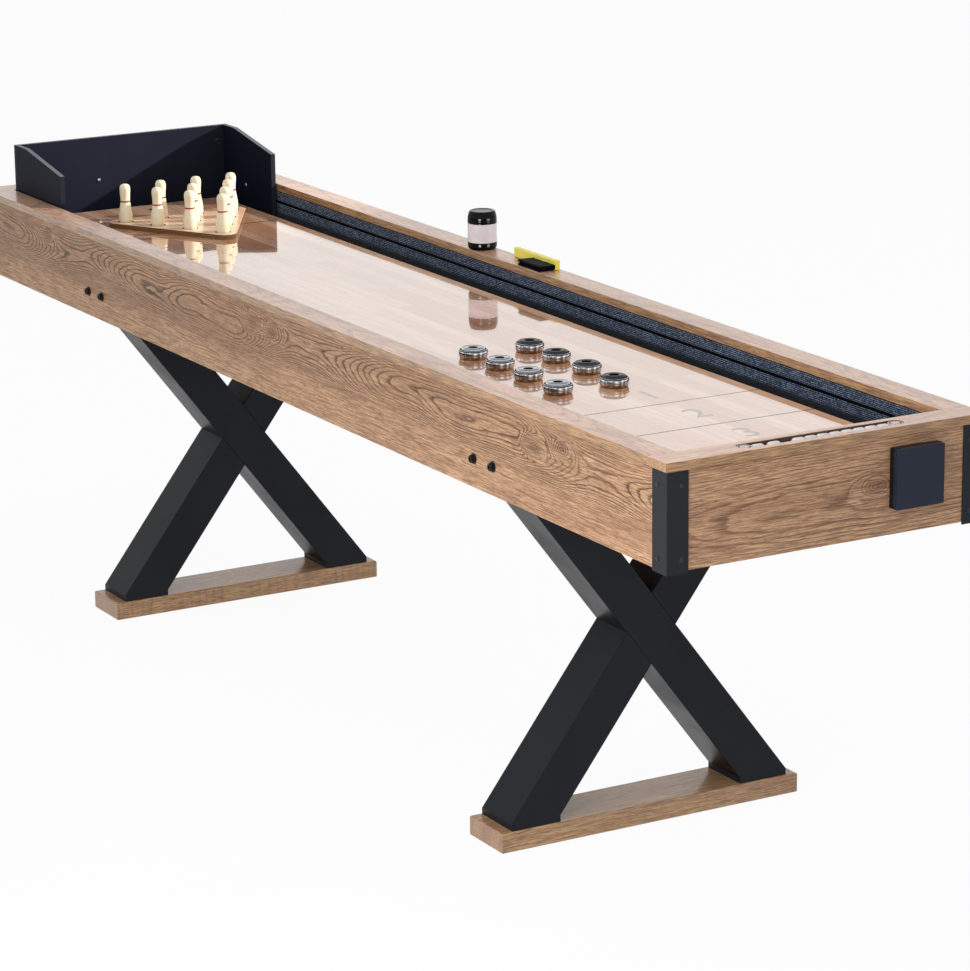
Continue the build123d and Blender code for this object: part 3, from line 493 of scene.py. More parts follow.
# The scorer's slot: its middle in x, half its width and length, and a height just under the cap's top.
SLOT_PLACE = (1.344, 0.0139, 0.1583, 0.8052)
CAP_LOOK = {
    "edge_tint": shade(190, 142, 76), "climb": 0.3, "narrow": 0.0012, "warp": 1.6, "ink": 0.35,
    "rough": (0.28, 0.38), "specular": 0.5, "coat": 0.6, "pores": 0.4, "fibre": 0.45, "arch_tone": 0.0,
    "pale": shade(244, 197, 165), "body": shade(224, 173, 141),
}
FOOT_LOOK = {
    "climb": 0.0, "narrow": 0.003, "warp": 0.8, "ink": 0.25, "beside": 1.0, "arch_tone": 0.0,
    "pale": shade(213, 176, 132), "body": shade(189, 147, 107), "coat": 0.6,
}
END_LOOK = {
    "climb": 0.3, "narrow": 0.00075, "warp": 2.2, "ink": 0.6, "period": 1.0, "start": -0.42,
    "beside": 0.8, "arch_tone": 0.0, "fibre": 0.6,
    "pale": shade(226, 183, 146), "body": shade(207, 162, 126),
}
# Where knots lie along an apron, and how high.
APRON_KNOTS = ((-1.03, 0.760), (-0.07, 0.757), (0.01, 0.752), (0.965, 0.742), (1.05, 0.757))

MATERIALS = {
    "apron_left": oak("oak_apron_left", "X", "Z", 0.746, 1.0, knots=APRON_KNOTS),
    "apron_right": oak("oak_apron_right", "X", "Z", 0.735, 4.0, start=0.42),
    "apron_near": oak("oak_apron_near", "Y", "Z", 0.700, 2.0, knots=((0.092, 0.712),), **END_LOOK),
    "apron_far": oak("oak_apron_far", "Y", "Z", 0.700, 6.0, **END_LOOK),
    "cap_left": oak("oak_cap_left", "X", "Y", -0.28, 3.0, **CAP_LOOK),
    "cap_right": oak("oak_cap_right", "X", "Y", 0.28, 5.0, **CAP_LOOK),
    "cap_near": oak("oak_cap_near", "Y", "X", 1.36, 7.0, slot=SLOT_PLACE, **CAP_LOOK),
    "cap_far": oak("oak_cap_far", "Y", "X", -1.35, 8.0, **CAP_LOOK),
    "playfield": playfield(),
    "deck": wood_side("deck_board", 3.0, shade(196, 168, 132), shade(158, 128, 96)),
    # near black: the boards' own dark stain, made darker still as painted shade in the groove between the
    # carpet strips
    "gutter_wall": wood_side("gutter_wall_stain_and_shade", 5.0, shade(6, 8, 14), shade(3, 4, 7), 0.05),
    "carpet_wall": ribbed_carpet("carpet_wall", "Z", shade(84, 100, 124), GUTTER_SHADE),
    "carpet_floor": ribbed_carpet("carpet_floor", "Y", shade(76, 86, 112)),
    "carpet_end_floor": ribbed_carpet("carpet_end_floor", "X", shade(76, 86, 112)),
    "bracket": coated("bracket_powder_coat", shade(27, 30, 36), 0.40),
    "bracket_screw": coated("bracket_screw_zinc", shade(50, 52, 57), 0.3, 0.0004, 0.00002),
    "bolt": coated("black_oxide", shade(20, 19, 20), 0.28, 0.0004, 0.00002),
    "leg": leg_paint(),
    "foot": oak("foot_board_oak", "Y", "X", 0.80, 9.0, **FOOT_LOOK),
    # one laminate in two copies: the side panels' copy is painted darker, as painted shade against the lamp
    # that lights them
    "panel_across": laminate_panel("panel_laminate_back", shade(35, 37, 48), shade(112, 116, 124), 0),
    "panel_along": laminate_panel("panel_laminate_side_painted_shade", shade(25, 28, 40), shade(112, 116, 124), 1),
    "steel": turned_metal("bright_steel", shade(205, 205, 208), 0.22),
    "chrome": puck_chrome(),
    "puck_cap_silver": puck_cap("puck_cap_silver", shade(146, 153, 161), shade(222, 225, 230), Metallic=0.6),
    "puck_cap_black": puck_cap(
        "puck_cap_black", shade(12, 14, 16), shade(88, 92, 96), Specular_IOR_Level=0.08
    ),
    "puck_groove": coated("puck_groove_black", shade(6, 6, 8), 0.6, Specular_IOR_Level=0.05),
    "pin": coated("pin_cream_paint", shade(243, 230, 199), 0.26, 0.004, 0.00004, coat=0.4),
    "pin_band": coated("pin_red_band", shade(160, 50, 48), 0.30, 0.002, 0.00002, coat=0.5),
    "rack": rack_wood(),
    "bead": coated("bead_white", shade(222, 214, 212), 0.25, 0.002, 0.00002, coat=0.4),
    "boss": coated("scorer_boss", shade(196, 182, 178), 0.30, coat=0.4),
    "boss_ring": coated("scorer_boss_ring", shade(24, 20, 20), 0.4),
    "box": coated("box_moulding", shade(31, 40, 57), 0.34, 0.0007, 0.00007),
    "box_base": coated("box_base_moulding", shade(15, 15, 18), 0.34, 0.0007, 0.00007),
    "bottle": bottle_gloss(),
    "label": paper_label(),
    "brush_bar": coated("brush_yellow", shade(255, 238, 100), 0.32, 0.003, 0.00004, coat=0.3),
    "bristle": coated("bristle_black", shade(20, 22, 28), 0.42, 0.002, 0.00002),
    "marking": coated("score_print", shade(72, 58, 58), 0.07, 0.01, 0.00001, **BOARD_GLOSS),
    "score_line": coated("score_line", shade(30, 24, 24), 0.2, 0.01, 0.00001, coat=0.9),
}

MATERIAL_NODES = {
    "apron_left": "side_apron_left",
    "apron_right": "side_apron_right",
    "apron_near": "end_apron_near",
    "apron_far": "end_apron_far",
    "cap_left": "top_cap_left",
    "cap_right": "top_cap_right",
    "cap_near": "top_cap_near",
    "cap_far": "top_cap_far",
    "gutter_wall": "side_gutter_walls end_gutter_walls",
    "deck": "gutter_deck deck_bearers",
    "playfield": "playfield_board",
    "bracket": "corner_brackets",
    "leg": "leg_through_beams leg_upper_arms leg_lower_arms leg_plates leg_head_boards",
    "foot": "foot_boards",
    "panel_across": "backboard_back",
    "panel_along": "backboard_left backboard_right",
    "steel": "scorer_rod storage_box_hinge_pin",
    "box_base": "storage_box_base",
    "box": "storage_box_lid",
    "rack": "pin_rack",
}

for key, node_names in MATERIAL_NODES.items():
    for node_name in node_names.split():
        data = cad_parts[node_name].data
        data.materials.clear()
        data.materials.append(MATERIALS[key])


# ---- mesh helpers
def middle(low, high):
    return (low + high) / 2


def foot_of(node_name):
    """The middle of a node's underside."""
    low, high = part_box(node_name)
    return Vector((*middle(low, high).xy, low.z))


def in_metres(profile):
    return [(radius * MM, height * MM) for radius, height in profile]


def mesh_of(name, builder, materials):
    """Close a bmesh into a mesh that carries its materials."""
    mesh = bpy.data.meshes.new(name)
    bmesh.ops.recalc_face_normals(builder, faces=builder.faces)
    builder.to_mesh(mesh)
    builder.free()
    for key in materials:
        mesh.materials.append(MATERIALS[key])
    return mesh


def add_piece(name, mesh, body, slot, replaced=(), smooth_angle=35.0, at=(0.0, 0.0, 0.0), spin=0.0):
    """Stand a mesh in the scene and tie it to its body; slot is not used."""
    piece = bpy.data.objects.new(name, mesh)
    piece.location = at
    piece.rotation_euler.z = spin
    scene.collection.objects.link(piece)
    for polygon in mesh.polygons:
        polygon.use_smooth = True
    mesh.set_sharp_from_angle(angle=math.radians(smooth_angle))
    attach(piece, body)
    if replaced:
        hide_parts(*replaced)


def build_piece(name, builder, materials, *rest):
    """Add a piece that has a mesh of its own; the rest is as for add_piece."""
    add_piece(name, mesh_of(name, builder, materials), *rest)


def ring(builder, turn, reach, height, segments):
    """Vertices round Z at a height; reach is a radius, or gives one for each angle."""
    made = []
    for step in range(segments):
        angle = 2 * math.pi * step / segments
        radius = reach(angle) if callable(reach) else reach
        spot = Vector((radius * math.cos(angle), radius * math.sin(angle), height))
        made.append(builder.verts.new(turn @ spot))
    return made


def bridge(builder, low, high, material=0):
    """Faces between two rings; a ring of one vertex makes a fan."""
    count = max(len(low), len(high))
    for step in range(count):
        following = (step + 1) % count
        corners = (
            low[step % len(low)],
            low[following % len(low)],
            high[following % len(high)],
            high[step % len(high)],
        )
        distinct = list(dict.fromkeys(corners))
        if len(distinct) >= 3:
            builder.faces.new(distinct).material_index = material


def lathe(builder, profile, segments=64, turn=Matrix.Identity(4), material_of=None):
    """Turn an open profile of (reach, height) about Z; a reach of 0 closes it."""
    rings = []
    for reach, height in profile:
        count = segments if callable(reach) or reach > 0.0 else 1
        rings.append(ring(builder, turn, reach, height, count))
    for index, (low, high) in enumerate(zip(rings, rings[1:])):
        bridge(builder, low, high, material_of(index) if material_of else 0)
    return rings


def islands(node_name):
    """The lowest and highest corner of each separate solid in a CAD node."""
    links = bmesh.new()
    links.from_mesh(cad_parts[node_name].data)
    bmesh.ops.remove_doubles(links, verts=links.verts, dist=1e-6)
    seen, found = set(), []
    for start in links.verts:
        if start in seen:
            continue
        seen.add(start)
        members = [start]
        for vertex in members:
            for edge in vertex.link_edges:
                other = edge.other_vert(vertex)
                if other not in seen:
                    seen.add(other)
                    members.append(other)
        places = list(zip(*(vertex.co for vertex in members)))
        found.append([Vector([pick(values) for values in places]) for pick in (min, max)])
    links.free()
    return sorted(found, key=lambda pair: tuple(round(value, 5) for value in pair[0]))


# ---- camera
# The camera stands beyond the near end, to the left, at a standing eye's height.
CAMERA_PLACE = Vector((6.0435, -3.2749, 2.2620))
CAMERA_YAW = math.radians(60.44)
CAMERA_PITCH = math.radians(15.06)
CAMERA_ROLL = math.radians(-0.61)
CAMERA_LENS = 138.43

camera_data = bpy.data.cameras.new("camera")
camera_data.sensor_width = 36.0
camera_data.lens = CAMERA_LENS
camera = bpy.data.objects.new("camera", camera_data)
scene.collection.objects.link(camera)
camera.matrix_world = (
    Matrix.Translation(CAMERA_PLACE)
    @ Matrix.Rotation(CAMERA_YAW, 4, "Z")
    @ Matrix.Rotation(math.pi / 2 - CAMERA_PITCH, 4, "X")
    @ Matrix.Rotation(CAMERA_ROLL, 4, "Z")
)
scene.camera = camera


# ---- floor, world and lamps
AMBIENT = 0.45
FLOOR_REACH = 14.0
FLOOR_PAPER = (0.86, 0.86, 0.86, 1.0)
FLOOR_WHITE_SHARE = 0.95


def white_for_lenses(nodes, output_kind, lit, white, share=None):
    """Camera, mirror and glass rays see plain white, or a share of it; the rest see the lit shader."""
    path = nodes.add("ShaderNodeLightPath").outputs
    seen = nodes.math("MAXIMUM", path["Is Camera Ray"], path["Is Glossy Ray"])
    seen = nodes.math("MAXIMUM", seen, path["Is Transmission Ray"])
    if share:
        seen = nodes.math("MULTIPLY", seen, share)
    mix = nodes.add("ShaderNodeMixShader", (seen, lit.outputs[0], white.outputs[0]))
    nodes.add(output_kind, {"Surface": mix.outputs[0]})


def studio_world():
    scene.world = bpy.data.worlds.new("studio")
    scene.world.use_nodes = True
    nodes = Nodes(scene.world.node_tree)
    ambient = nodes.add("ShaderNodeBackground", {"Color": WHITE, "Strength": AMBIENT})
    white = nodes.add("ShaderNodeBackground", {"Color": WHITE, "Strength": 1.0})
    white_for_lenses(nodes, "ShaderNodeOutputWorld", ambient, white)


def studio_floor():
    """A wide pale floor, nearly white to the camera but still taking the shadow."""
    mesh = bpy.data.meshes.new("floor")
    signs = ((-1, -1), (1, -1), (1, 1), (-1, 1))
    mesh.from_pydata([(x * FLOOR_REACH, y * FLOOR_REACH, 0.0) for x, y in signs], [], [(0, 1, 2, 3)])
    floor = bpy.data.objects.new("floor", mesh)
    floor.location.z = cad_bounds[0].z - 0.5 * MM
    scene.collection.objects.link(floor)
    material = bpy.data.materials.new("floor_paper")
    material.use_nodes = True
    nodes = Nodes(material.node_tree)
    paper = nodes.add("ShaderNodeBsdfDiffuse", {"Color": FLOOR_PAPER})
    white = nodes.add("ShaderNodeEmission", {"Strength": 1.0})
    white_for_lenses(nodes, "ShaderNodeOutputMaterial", paper, white, FLOOR_WHITE_SHARE)
    mesh.materials.append(material)


def hang(name, data, place, target):
    """Hang a lamp at a place, turned to a target; no gloss mirrors it."""
    lamp = bpy.data.objects.new(name, data)
    lamp.location = place
    lamp.rotation_euler = (Vector(target) - Vector(place)).to_track_quat("-Z", "Y").to_euler()
    lamp.visible_glossy = False
    scene.collection.objects.link(lamp)
    return lamp


def soft_lamp(name, place, target, width, height, radiance):
    """A rectangular studio lamp of a given brightness."""
    data = bpy.data.lights.new(name, "AREA")
    data.shape = "RECTANGLE"
    data.size = width
    data.size_y = height
    data.energy = radiance * math.pi * width * height
    hang(name, data, place, target).visible_camera = False


def spot_lamp(name, place, target, cone, radius, brightness):
    """A round lamp with a soft-edged cone, of a given brightness at its target."""
    reach = Vector(target) - Vector(place)
    data = bpy.data.lights.new(name, "SPOT")
    data.spot_size = math.radians(cone)
    data.spot_blend = 0.7
    data.shadow_soft_size = radius
    data.energy = brightness * 4 * math.pi**2 * reach.length_squared
    hang(name, data, place, target)


studio_world()
studio_floor()
soft_lamp("left_lamp", (-0.6, -4.8, 2.2), (0.0, 0.0, 0.6), 4.6, 2.4, 0.6)
soft_lamp("near_lamp", (1.75, -1.5, 1.3), (0.9, -0.1, 0.6), 1.4, 1.0, 4.4)
soft_lamp("top_lamp", (0.4, 0.2, 4.6), (0.0, 0.0, 0.7), 4.0, 2.5, 0.6)
soft_lamp("key_lamp", (1.05, 4.7, 2.66), (-0.6, 0.0, 0.8), 0.5, 0.5, 50.0)
spot_lamp("backboard_lamp", (1.32, 4.73, 2.58), (-1.14, -0.04, 0.90), 9.8, 0.05, 1.4)

scene.view_settings.view_transform = "Standard"


# ---- gutter carpets
RIB_DEPTH = 1.1 * MM
RIB_STEPS = 8
EDGE_ROLL = 3.2 * MM


def long_axis(low, high):
    """0 for a solid that runs along the table, 1 for one that runs across it."""
    return 0 if high.x - low.x > high.y - low.y else 1


def ribbed_strip(builder, low, high, run_axis, face_axis, face_sign):
    """A glued strip with ribs along run_axis, on the face that points along face_axis."""
    width_axis = 3 - run_axis - face_axis
    start, end = low[width_axis], high[width_axis]
    back, front = low[face_axis], high[face_axis]
    if face_sign < 0:
        back, front = front, back
    steps = round((end - start) / RIB_PITCH * RIB_STEPS)
    outline = [(start, back)]
    for step in range(steps + 1):
        across = start + step / steps * (end - start)
        crest = 0.5 + 0.5 * math.cos(2 * math.pi * across / RIB_PITCH)
        rolled = max(0.0, 1 - min(across - start, end - across) / EDGE_ROLL) ** 2
        depth = RIB_DEPTH * max((1 - crest) ** 1.6, 1.8 * rolled)
        outline.append((across, front - face_sign * depth))
    outline.append((end, back))
    rows = []
    for run in (low[run_axis], high[run_axis]):
        spots = [{run_axis: run, width_axis: across, face_axis: out} for across, out in outline]
        rows.append([builder.verts.new([spot[axis] for axis in range(3)]) for spot in spots])
    bridge(builder, *rows)
    for row in rows:
        builder.faces.new(row)


def wall_carpets():
    builder = bmesh.new()
    for low, high in islands("wall_carpets"):
        run_axis = long_axis(low, high)
        face_axis = 1 - run_axis
        sign = -1 if middle(low, high)[face_axis] > 0 else 1
        ribbed_strip(builder, low, high, run_axis, face_axis, sign)
    build_piece("wall_carpets_ribbed", builder, ["carpet_wall"], "table", "carpet", ("wall_carpets",), 60.0)


def floor_carpets():
    for run_axis, name, key in ((0, "side", "carpet_floor"), (1, "end", "carpet_end_floor")):
        builder = bmesh.new()
        for low, high in islands("floor_carpets"):
            if long_axis(low, high) == run_axis:
                ribbed_strip(builder, low, high, run_axis, 2, 1)
        replaced = ("floor_carpets",) if run_axis == 0 else ()
        build_piece(f"floor_carpets_{name}", builder, [key], "table", "carpet", replaced, 60.0)


wall_carpets()
floor_carpets()


# ---- screws and bolts
HEAD_SEGMENTS = 48
BOLT_HEIGHT = 8.0 * MM
BOLT_OUTLINE = [
    (9.5, 0.0), (9.5, 1.2), (9.1, 1.8), (8.4, 2.0), (7.2, 2.1),
    (7.1, 2.6), (6.9, 6.4), (6.5, 7.4), (5.6, 8.0),
]


def recess_radius(kind, angle, radius):
    """The outline of a driver recess at an angle: a hexagon or a cross."""
    if kind == "hex":
        sector = math.pi / 3
        return radius * math.cos(sector / 2) / math.cos(angle % sector - sector / 2)
    near_arm = abs((angle + math.pi / 4) % (math.pi / 2) - math.pi / 4)
    return radius if near_arm < math.radians(14) else radius * 0.34


def outward_turn(low, high, axis, height, inward=False):
    """Seat a head of a given height at the outer end of a solid, or at its inner end."""
    seat = middle(low, high)
    sign = 1 if (seat[axis] > 0) != inward else -1
    seat[axis] = (high[axis] if sign > 0 else low[axis]) - sign * height
    direction = Vector([sign * (index == axis) for index in range(3)])
    return Matrix.Translation(seat) @ direction.to_track_quat("Z", "X").to_matrix().to_4x4()


def screw_head(builder, turn, radius, height, kind):
    """A domed head with a driver recess, standing on the plane z = 0 of turn."""
    def recess(angle):
        return recess_radius(kind, angle, radius * 0.42)

    levels = [(radius, 0.0), (radius, height * 0.25)]
    for step in range(1, 6):
        lean = step * 0.21
        levels.append((radius * math.cos(lean), height * (0.25 + 0.75 * math.sin(lean))))
    levels += [(recess, height * 0.93), (recess, height * 0.35), (0.0, height * 0.3)]
    rings = lathe(builder, levels, HEAD_SEGMENTS, turn)
    builder.faces.new(rings[0])


def screw_set(node_name, height, kind, material, slot, inward=False):
    """Replace a node of screws by detailed heads on the same seats."""
    builder = bmesh.new()
    for low, high in islands(node_name):
        size = high - low
        axis = max(range(3), key=lambda index: size[index])
        turn = outward_turn(low, high, axis, height, inward)
        screw_head(builder, turn, size[(axis + 1) % 3] / 2, height, kind)
    build_piece(f"{node_name}_detailed", builder, [material], "table", slot, (node_name,), 40.0)


def leg_bolts():
    """Flanged bolts with a tapered head and a hexagon socket."""
    def socket(angle):
        return recess_radius("hex", angle, 3.45 * MM)

    levels = in_metres(BOLT_OUTLINE) + [(socket, BOLT_HEIGHT), (socket, 4.6 * MM)]
    builder = bmesh.new()
    for low, high in islands("leg_bolts"):
        rings = lathe(builder, levels, HEAD_SEGMENTS, outward_turn(low, high, 1, BOLT_HEIGHT))
        builder.faces.new(rings[0])
        builder.faces.new(rings[-1])
    build_piece("leg_bolts_detailed", builder, ["bolt"], "table", "black_hardware", ("leg_bolts",), 40.0)


screw_set("bracket_screws", 2.0 * MM, "cross", "bracket_screw", "black_hardware")
leg_bolts()
screw_set("backboard_screws", 2.5 * MM, "cross", "steel", "bright_steel", inward=True)
screw_set("scorer_screws", 1.0 * MM, "cross", "steel", "bright_steel")


# ---- score beads
BEAD_PITCH = 23.1 * MM
BEAD_PROFILE = [
    (3.4, -10.8), (4.8, -10.8), (6.8, -10.4), (8.4, -9.5), (9.3, -8.3), (9.8, -6.4), (10.0, 0.0),
    (9.8, 6.4), (9.3, 8.3), (8.4, 9.5), (6.8, 10.4), (4.8, 10.8), (3.4, 10.8),
]
BOSS_RADIUS = 12.5 * MM
BOSS_PROFILE = [
    (0.0, -6.0), (12.5, -6.0), (12.5, -0.6), (12.1, 0.0), (10.9, 0.0), (10.5, -0.5),
    (10.2, -0.9), (8.4, -0.9), (8.1, -0.5), (7.6, 0.0), (5.2, 0.0), (0.0, 0.0),
]
BOSS_RING = (5, 6, 7)


def beads():
    """Barrel beads threaded on the rod, with rounded ends that part them."""
    for which in ("first", "second", "group"):
        node_name = f"score_bead_{which}"
        low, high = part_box(node_name)
        count = max(1, round((high.y - low.y) / BEAD_PITCH))
        centre = middle(low, high)
        builder = bmesh.new()
        for number in range(count):
            y = centre.y + (number - (count - 1) / 2) * BEAD_PITCH
            turn = Matrix.Translation((centre.x, y, centre.z)) @ Matrix.Rotation(-math.pi / 2, 4, "X")
            lathe(builder, in_metres(BEAD_PROFILE), 48, turn)
        build_piece(f"{node_name}_turned", builder, ["bead"], f"bead_{which}", "bead", (node_name,), 50.0)


def scorer_bosses():
    """Discs that close the slot's ends, each with a dark ring round its screw."""
    low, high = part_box("scorer_bosses")
    builder = bmesh.new()
    for sign in (-1, 1):
        turn = Matrix.Translation((middle(low, high).x, sign * (high.y - BOSS_RADIUS), high.z))
        lathe(builder, in_metres(BOSS_PROFILE), 64, turn, lambda index: int(index in BOSS_RING))
    materials = ["boss", "boss_ring"]
    build_piece("scorer_bosses_turned", builder, materials, "table", "scorer_boss", ("scorer_bosses",), 40.0)


beads()
scorer_bosses()


# ---- pucks and pins
PUCK_BODY = [
    (0.0, 0.15), (22.2, 0.15), (23.4, 0.4), (24.1, 1.3), (24.9, 3.0), (25.6, 5.0), (26.0, 6.4),
    (26.0, 7.0), (25.3, 7.2), (25.3, 7.7), (26.2, 8.0), (26.65, 8.8), (26.75, 9.8),
    (26.6, 11.2), (26.3, 12.5), (25.85, 13.8), (25.2, 15.0), (24.4, 15.9), (23.9, 16.25), (23.6, 16.3),
]
PUCK_GROOVE = [(23.5, 15.0), (22.3, 14.2), (21.2, 14.6)]
PUCK_CAP = [
    (21.3, 16.0), (21.5, 17.0), (21.2, 18.0), (20.4, 18.8), (18.7, 19.4), (18.2, 19.1),
    (17.1, 19.2), (16.6, 19.7), (14.0, 19.9), (11.0, 20.0), (9.4, 19.8), (8.7, 19.1),
]
PUCK_HOLE = [(8.3, 17.6), (6.6, 17.0), (4.6, 17.2), (3.9, 18.0), (2.0, 18.2), (0.0, 18.2)]
# Each part of the profile, with the number of its material: chrome, cap and black groove.
PUCK_PARTS = ((PUCK_BODY, 0), (PUCK_GROOVE, 2), (PUCK_CAP, 1), (PUCK_HOLE, 2))
PIN_PROFILE = [
    (0.0, 0.0), (10.4, 0.0), (11.5, 0.4), (12.1, 1.4), (12.8, 5.0), (13.7, 11.0), (14.35, 17.0),
    (14.5, 21.5), (14.3, 26.0), (13.6, 32.0), (12.5, 38.0), (11.4, 44.0), (10.6, 48.5),
    (10.2, 52.0), (10.25, 52.2), (10.1, 55.0), (10.0, 55.2), (10.0, 57.5), (10.1, 60.5),
    (10.45, 65.5), (10.9, 71.5), (11.2, 77.0), (11.15, 80.5), (10.5, 84.0), (9.2, 86.7),
    (7.2, 88.6), (4.4, 89.7), (2.0, 89.98), (0.0, 90.0),
]
PIN_BAND = (13, 14, 15)
PIN_TURN = 1.3  # each pin is turned this much further than the one before, in radians
SILVER_SIDE = -50 * MM  # the pucks beyond this y have silver caps


def turned_mesh(name, profile, segments, materials, material_of):
    builder = bmesh.new()
    lathe(builder, in_metres(profile), segments, material_of=material_of)
    return mesh_of(name, builder, materials)


def stand(node_name, mesh, slot, smooth_angle, spin=0.0):
    """Stand a shared turned mesh where an upright CAD node stands."""
    name, at = f"{node_name}_turned", foot_of(node_name)
    add_piece(name, mesh, node_name, slot, (node_name,), smooth_angle, at, spin)


def pucks():
    """Four with silver caps on the camera's side and four with black caps."""
    profile = [spot for part, _ in PUCK_PARTS for spot in part]
    owner = [number for part, number in PUCK_PARTS for _ in part]
    meshes = {}
    for kind in ("silver", "black"):
        materials = ["chrome", f"puck_cap_{kind}", "puck_groove"]
        meshes[kind] = turned_mesh(f"puck_{kind}", profile, 72, materials, lambda index: owner[index + 1])
    for number in range(1, 9):
        node_name = f"puck_{number}"
        kind = "silver" if middle(*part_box(node_name)).y < SILVER_SIDE else "black"
        stand(node_name, meshes[kind], "puck_steel", 50.0)


def pins():
    materials = ["pin", "pin_band"]
    mesh = turned_mesh("pin_turned", PIN_PROFILE, 48, materials, lambda index: int(index in PIN_BAND))
    for number in range(1, 11):
        stand(f"pin_{number}", mesh, "pin", 60.0, number * PIN_TURN)


pucks()
pins()


# ---- board markings
LINE_WIDTH = 4.2 * MM
LINE_INSETS = (0.1385, 0.3025)
NUMBER_INSETS = ((1, 0.365), (2, 0.215), (3, 0.065))
NUMBER_SIZE = 0.082


def score_lines():
    """Thin lines across the board, two near each end."""
    low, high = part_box("playfield_board")
    builder = bmesh.new()
    for end in (-1, 1):
        for inset in LINE_INSETS:
            first = end * (high.x - inset) - LINE_WIDTH / 2
            last = first + LINE_WIDTH
            spots = ((first, low.y), (last, low.y), (last, high.y), (first, high.y))
            corners = [builder.verts.new((x, y * 0.9985, high.z + 0.06 * MM)) for x, y in spots]
            builder.faces.new(corners)
    build_piece("score_lines", builder, ["score_line"], "table", "marking")


def score_numbers():
    """The numbers 1, 2 and 3 at both ends, each read from its own end."""
    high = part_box("playfield_board")[1]
    for end, end_name in ((1, "near"), (-1, "far")):
        for number, inset in NUMBER_INSETS:
            curve = bpy.data.curves.new(f"number_{number}_{end_name}", "FONT")
            curve.body = str(number)
            curve.align_x = curve.align_y = "CENTER"
            curve.size = NUMBER_SIZE
            letter = bpy.data.objects.new(curve.name, curve)
            scene.collection.objects.link(letter)
            bpy.context.view_layer.update()
            shaped = letter.evaluated_get(bpy.context.evaluated_depsgraph_get())
            mesh = bpy.data.meshes.new_from_object(shaped)
            bpy.data.objects.remove(letter)
            turn = Matrix.Rotation(end * math.pi / 2, 4, "Z")
            mesh.transform(Matrix.Translation((end * (high.x - inset), 0.0, high.z + 0.05 * MM)) @ turn)
            mesh.materials.clear()
            mesh.materials.append(MATERIALS["marking"])
            add_piece(f"score_number_{number}_{end_name}", mesh, "table", "marking")


score_lines()
score_numbers()


# ---- wax bottle
BOTTLE_BODY = [
    (0.0, 1.6), (20.0, 1.2), (22.5, 0.0), (24.6, 0.3), (26.8, 1.8), (28.2, 4.2), (28.8, 7.2),
    (28.9, 12.0), (28.4, 14.4), (28.4, 52.0), (28.9, 53.0), (28.6, 53.9), (19.0, 54.0),
]
BOTTLE_LABEL = [(28.5, 14.8), (28.75, 15.0), (28.75, 51.4), (28.5, 51.6)]
BOTTLE_CAP = [
    (19.4, 0.0), (28.2, 0.0), (28.9, 0.6), (28.9, 3.4), (28.6, 4.0), (28.6, 4.6), (28.8, 5.2),
    (28.4, 10.0), (27.4, 15.0), (26.2, 19.0), (25.2, 20.9), (23.8, 21.8), (22.0, 22.0),
    (20.4, 21.6), (19.0, 20.8), (17.0, 20.5), (0.0, 20.4),
]


def bottle():
    """The bottle, its label, which stands for no CAD node, and its cap."""
    for part, profile, node_name, material, body, slot in (
        ("body", BOTTLE_BODY, "wax_bottle", "bottle", "bottle", "bottle"),
        ("label", BOTTLE_LABEL, "wax_bottle", "label", "bottle", "bottle_label"),
        ("top", BOTTLE_CAP, "wax_bottle_cap", "bottle", "bottle_cap", "bottle"),
    ):
        builder = bmesh.new()
        lathe(builder, in_metres(profile), 96)
        replaced = () if part == "label" else (node_name,)
        at = foot_of(node_name)
        build_piece(f"wax_bottle_{part}", builder, [material], body, slot, replaced, 50.0, at)


bottle()


# ---- brush
TUFT_ROWS, TUFT_COLUMNS, TUFT_HAIRS = 4, 26, 15
HAIR_RADIUS = 0.34 * MM


def rounded_bar(builder, low, high, radius):
    """A bar with all its edges rounded."""
    made = bmesh.ops.create_cube(builder, size=1.0)
    centre, size = middle(low, high), high - low
    for vertex in made["verts"]:
        vertex.co = centre + Vector([vertex.co[axis] * size[axis] for axis in range(3)])
    bmesh.ops.bevel(builder, geom=builder.edges[:], offset=radius, segments=5, profile=0.6, affect="EDGES")


def hair(builder, root, tip):
    """One three-sided bristle, thinner at its tip."""
    rings = []
    for spot, thick in ((root, HAIR_RADIUS), (tip, HAIR_RADIUS * 0.7)):
        angles = [2 * math.pi * corner / 3 for corner in range(3)]
        sides = [Vector((math.cos(angle), 0.0, math.sin(angle))) * thick for angle in angles]
        rings.append([builder.verts.new(spot + side) for side in sides])
    bridge(builder, *rings)
    for ends in rings:
        builder.faces.new(ends)


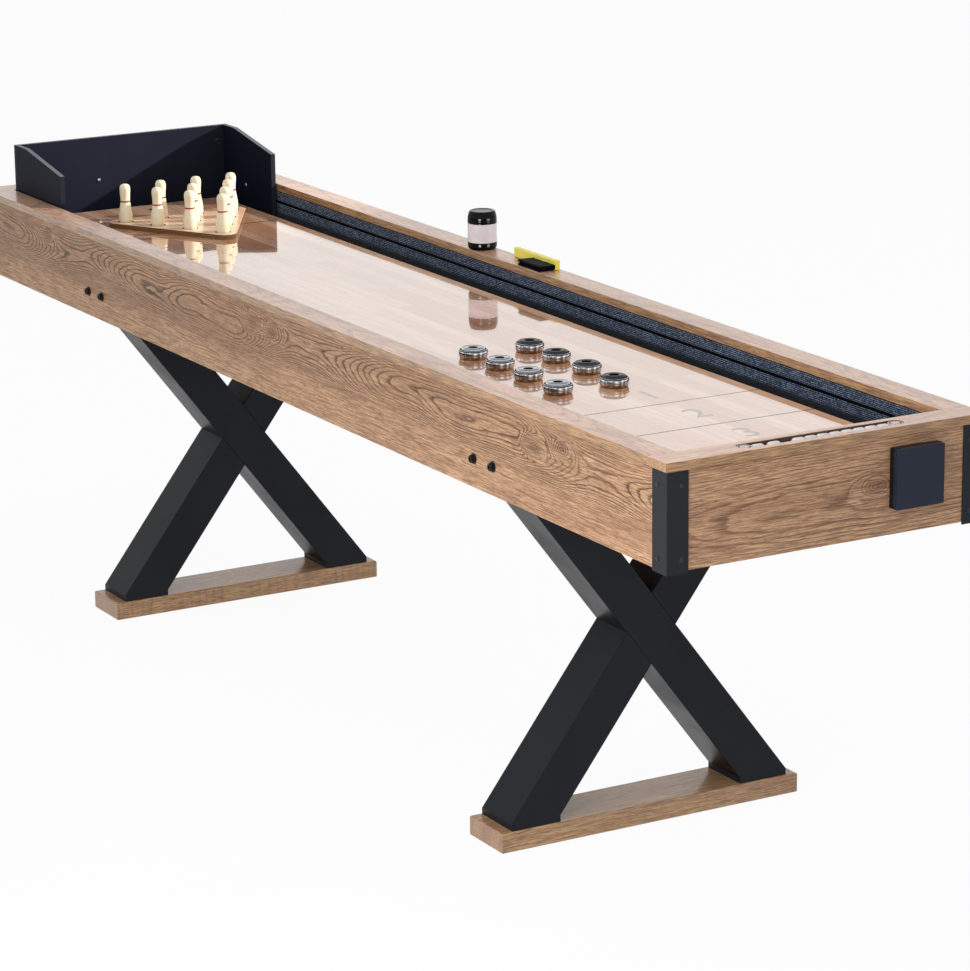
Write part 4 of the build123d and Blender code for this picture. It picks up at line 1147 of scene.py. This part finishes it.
def brush():
    """A yellow bar, and rows of tufts whose hairs spread a little."""
    builder = bmesh.new()
    rounded_bar(builder, *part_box("brush_handle"), 2.6 * MM)
    build_piece("brush_bar_moulded", builder, ["brush_bar"], "brush", "brush_bar", ("brush_handle",), 40.0)

    rng = random.Random(11)
    low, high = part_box("brush_bristles")
    length = high.y - low.y
    builder = bmesh.new()
    for column in range(TUFT_COLUMNS):
        for row in range(TUFT_ROWS):
            x = low.x + (column + 0.5) / TUFT_COLUMNS * (high.x - low.x)
            z = low.z + (0.24 + 0.58 * row / (TUFT_ROWS - 1)) * (high.z - low.z)
            for _ in range(TUFT_HAIRS):
                root = Vector((x + rng.uniform(-1.1, 1.1) * MM, high.y, z + rng.uniform(-0.9, 0.9) * MM))
                spread = Vector((rng.uniform(-2.6, 2.6) * MM, 0.0, rng.uniform(-2.0, 1.8) * MM))
                tip = root + spread + Vector((0.0, -length * rng.uniform(0.93, 1.0), (row - 1.5) * 0.9 * MM))
                tip.z = min(max(tip.z, low.z + 0.3 * MM), high.z - 0.2 * MM)
                tip.x = min(max(tip.x, low.x + 0.2 * MM), high.x - 0.2 * MM)
                hair(builder, root, tip)
    replaced = ("brush_bristles",)
    build_piece("brush_bristle_tufts", builder, ["bristle"], "brush", "bristle", replaced, 60.0)


brush()


# ---- backboard details
COVER_PROFILE = [(6.5, 0.0), (6.5, 0.8), (6.0, 1.3), (4.4, 1.4), (4.0, 0.9), (0.0, 0.8)]
COVER_FROM_MIDDLE = 227 * MM
COVER_FROM_TOP = 36 * MM


def backboard_covers():
    """Dark round covers over the fixings in the back panel's upper corners."""
    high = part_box("backboard_back")[1]
    builder = bmesh.new()
    for side in (-1, 1):
        seat = Vector((high.x, side * COVER_FROM_MIDDLE, high.z - COVER_FROM_TOP))
        turn = Matrix.Translation(seat) @ Matrix.Rotation(math.pi / 2, 4, "Y")
        lathe(builder, in_metres(COVER_PROFILE), 32, turn)
    build_piece("backboard_covers", builder, ["panel_across"], "table", "black_hardware")


backboard_covers()
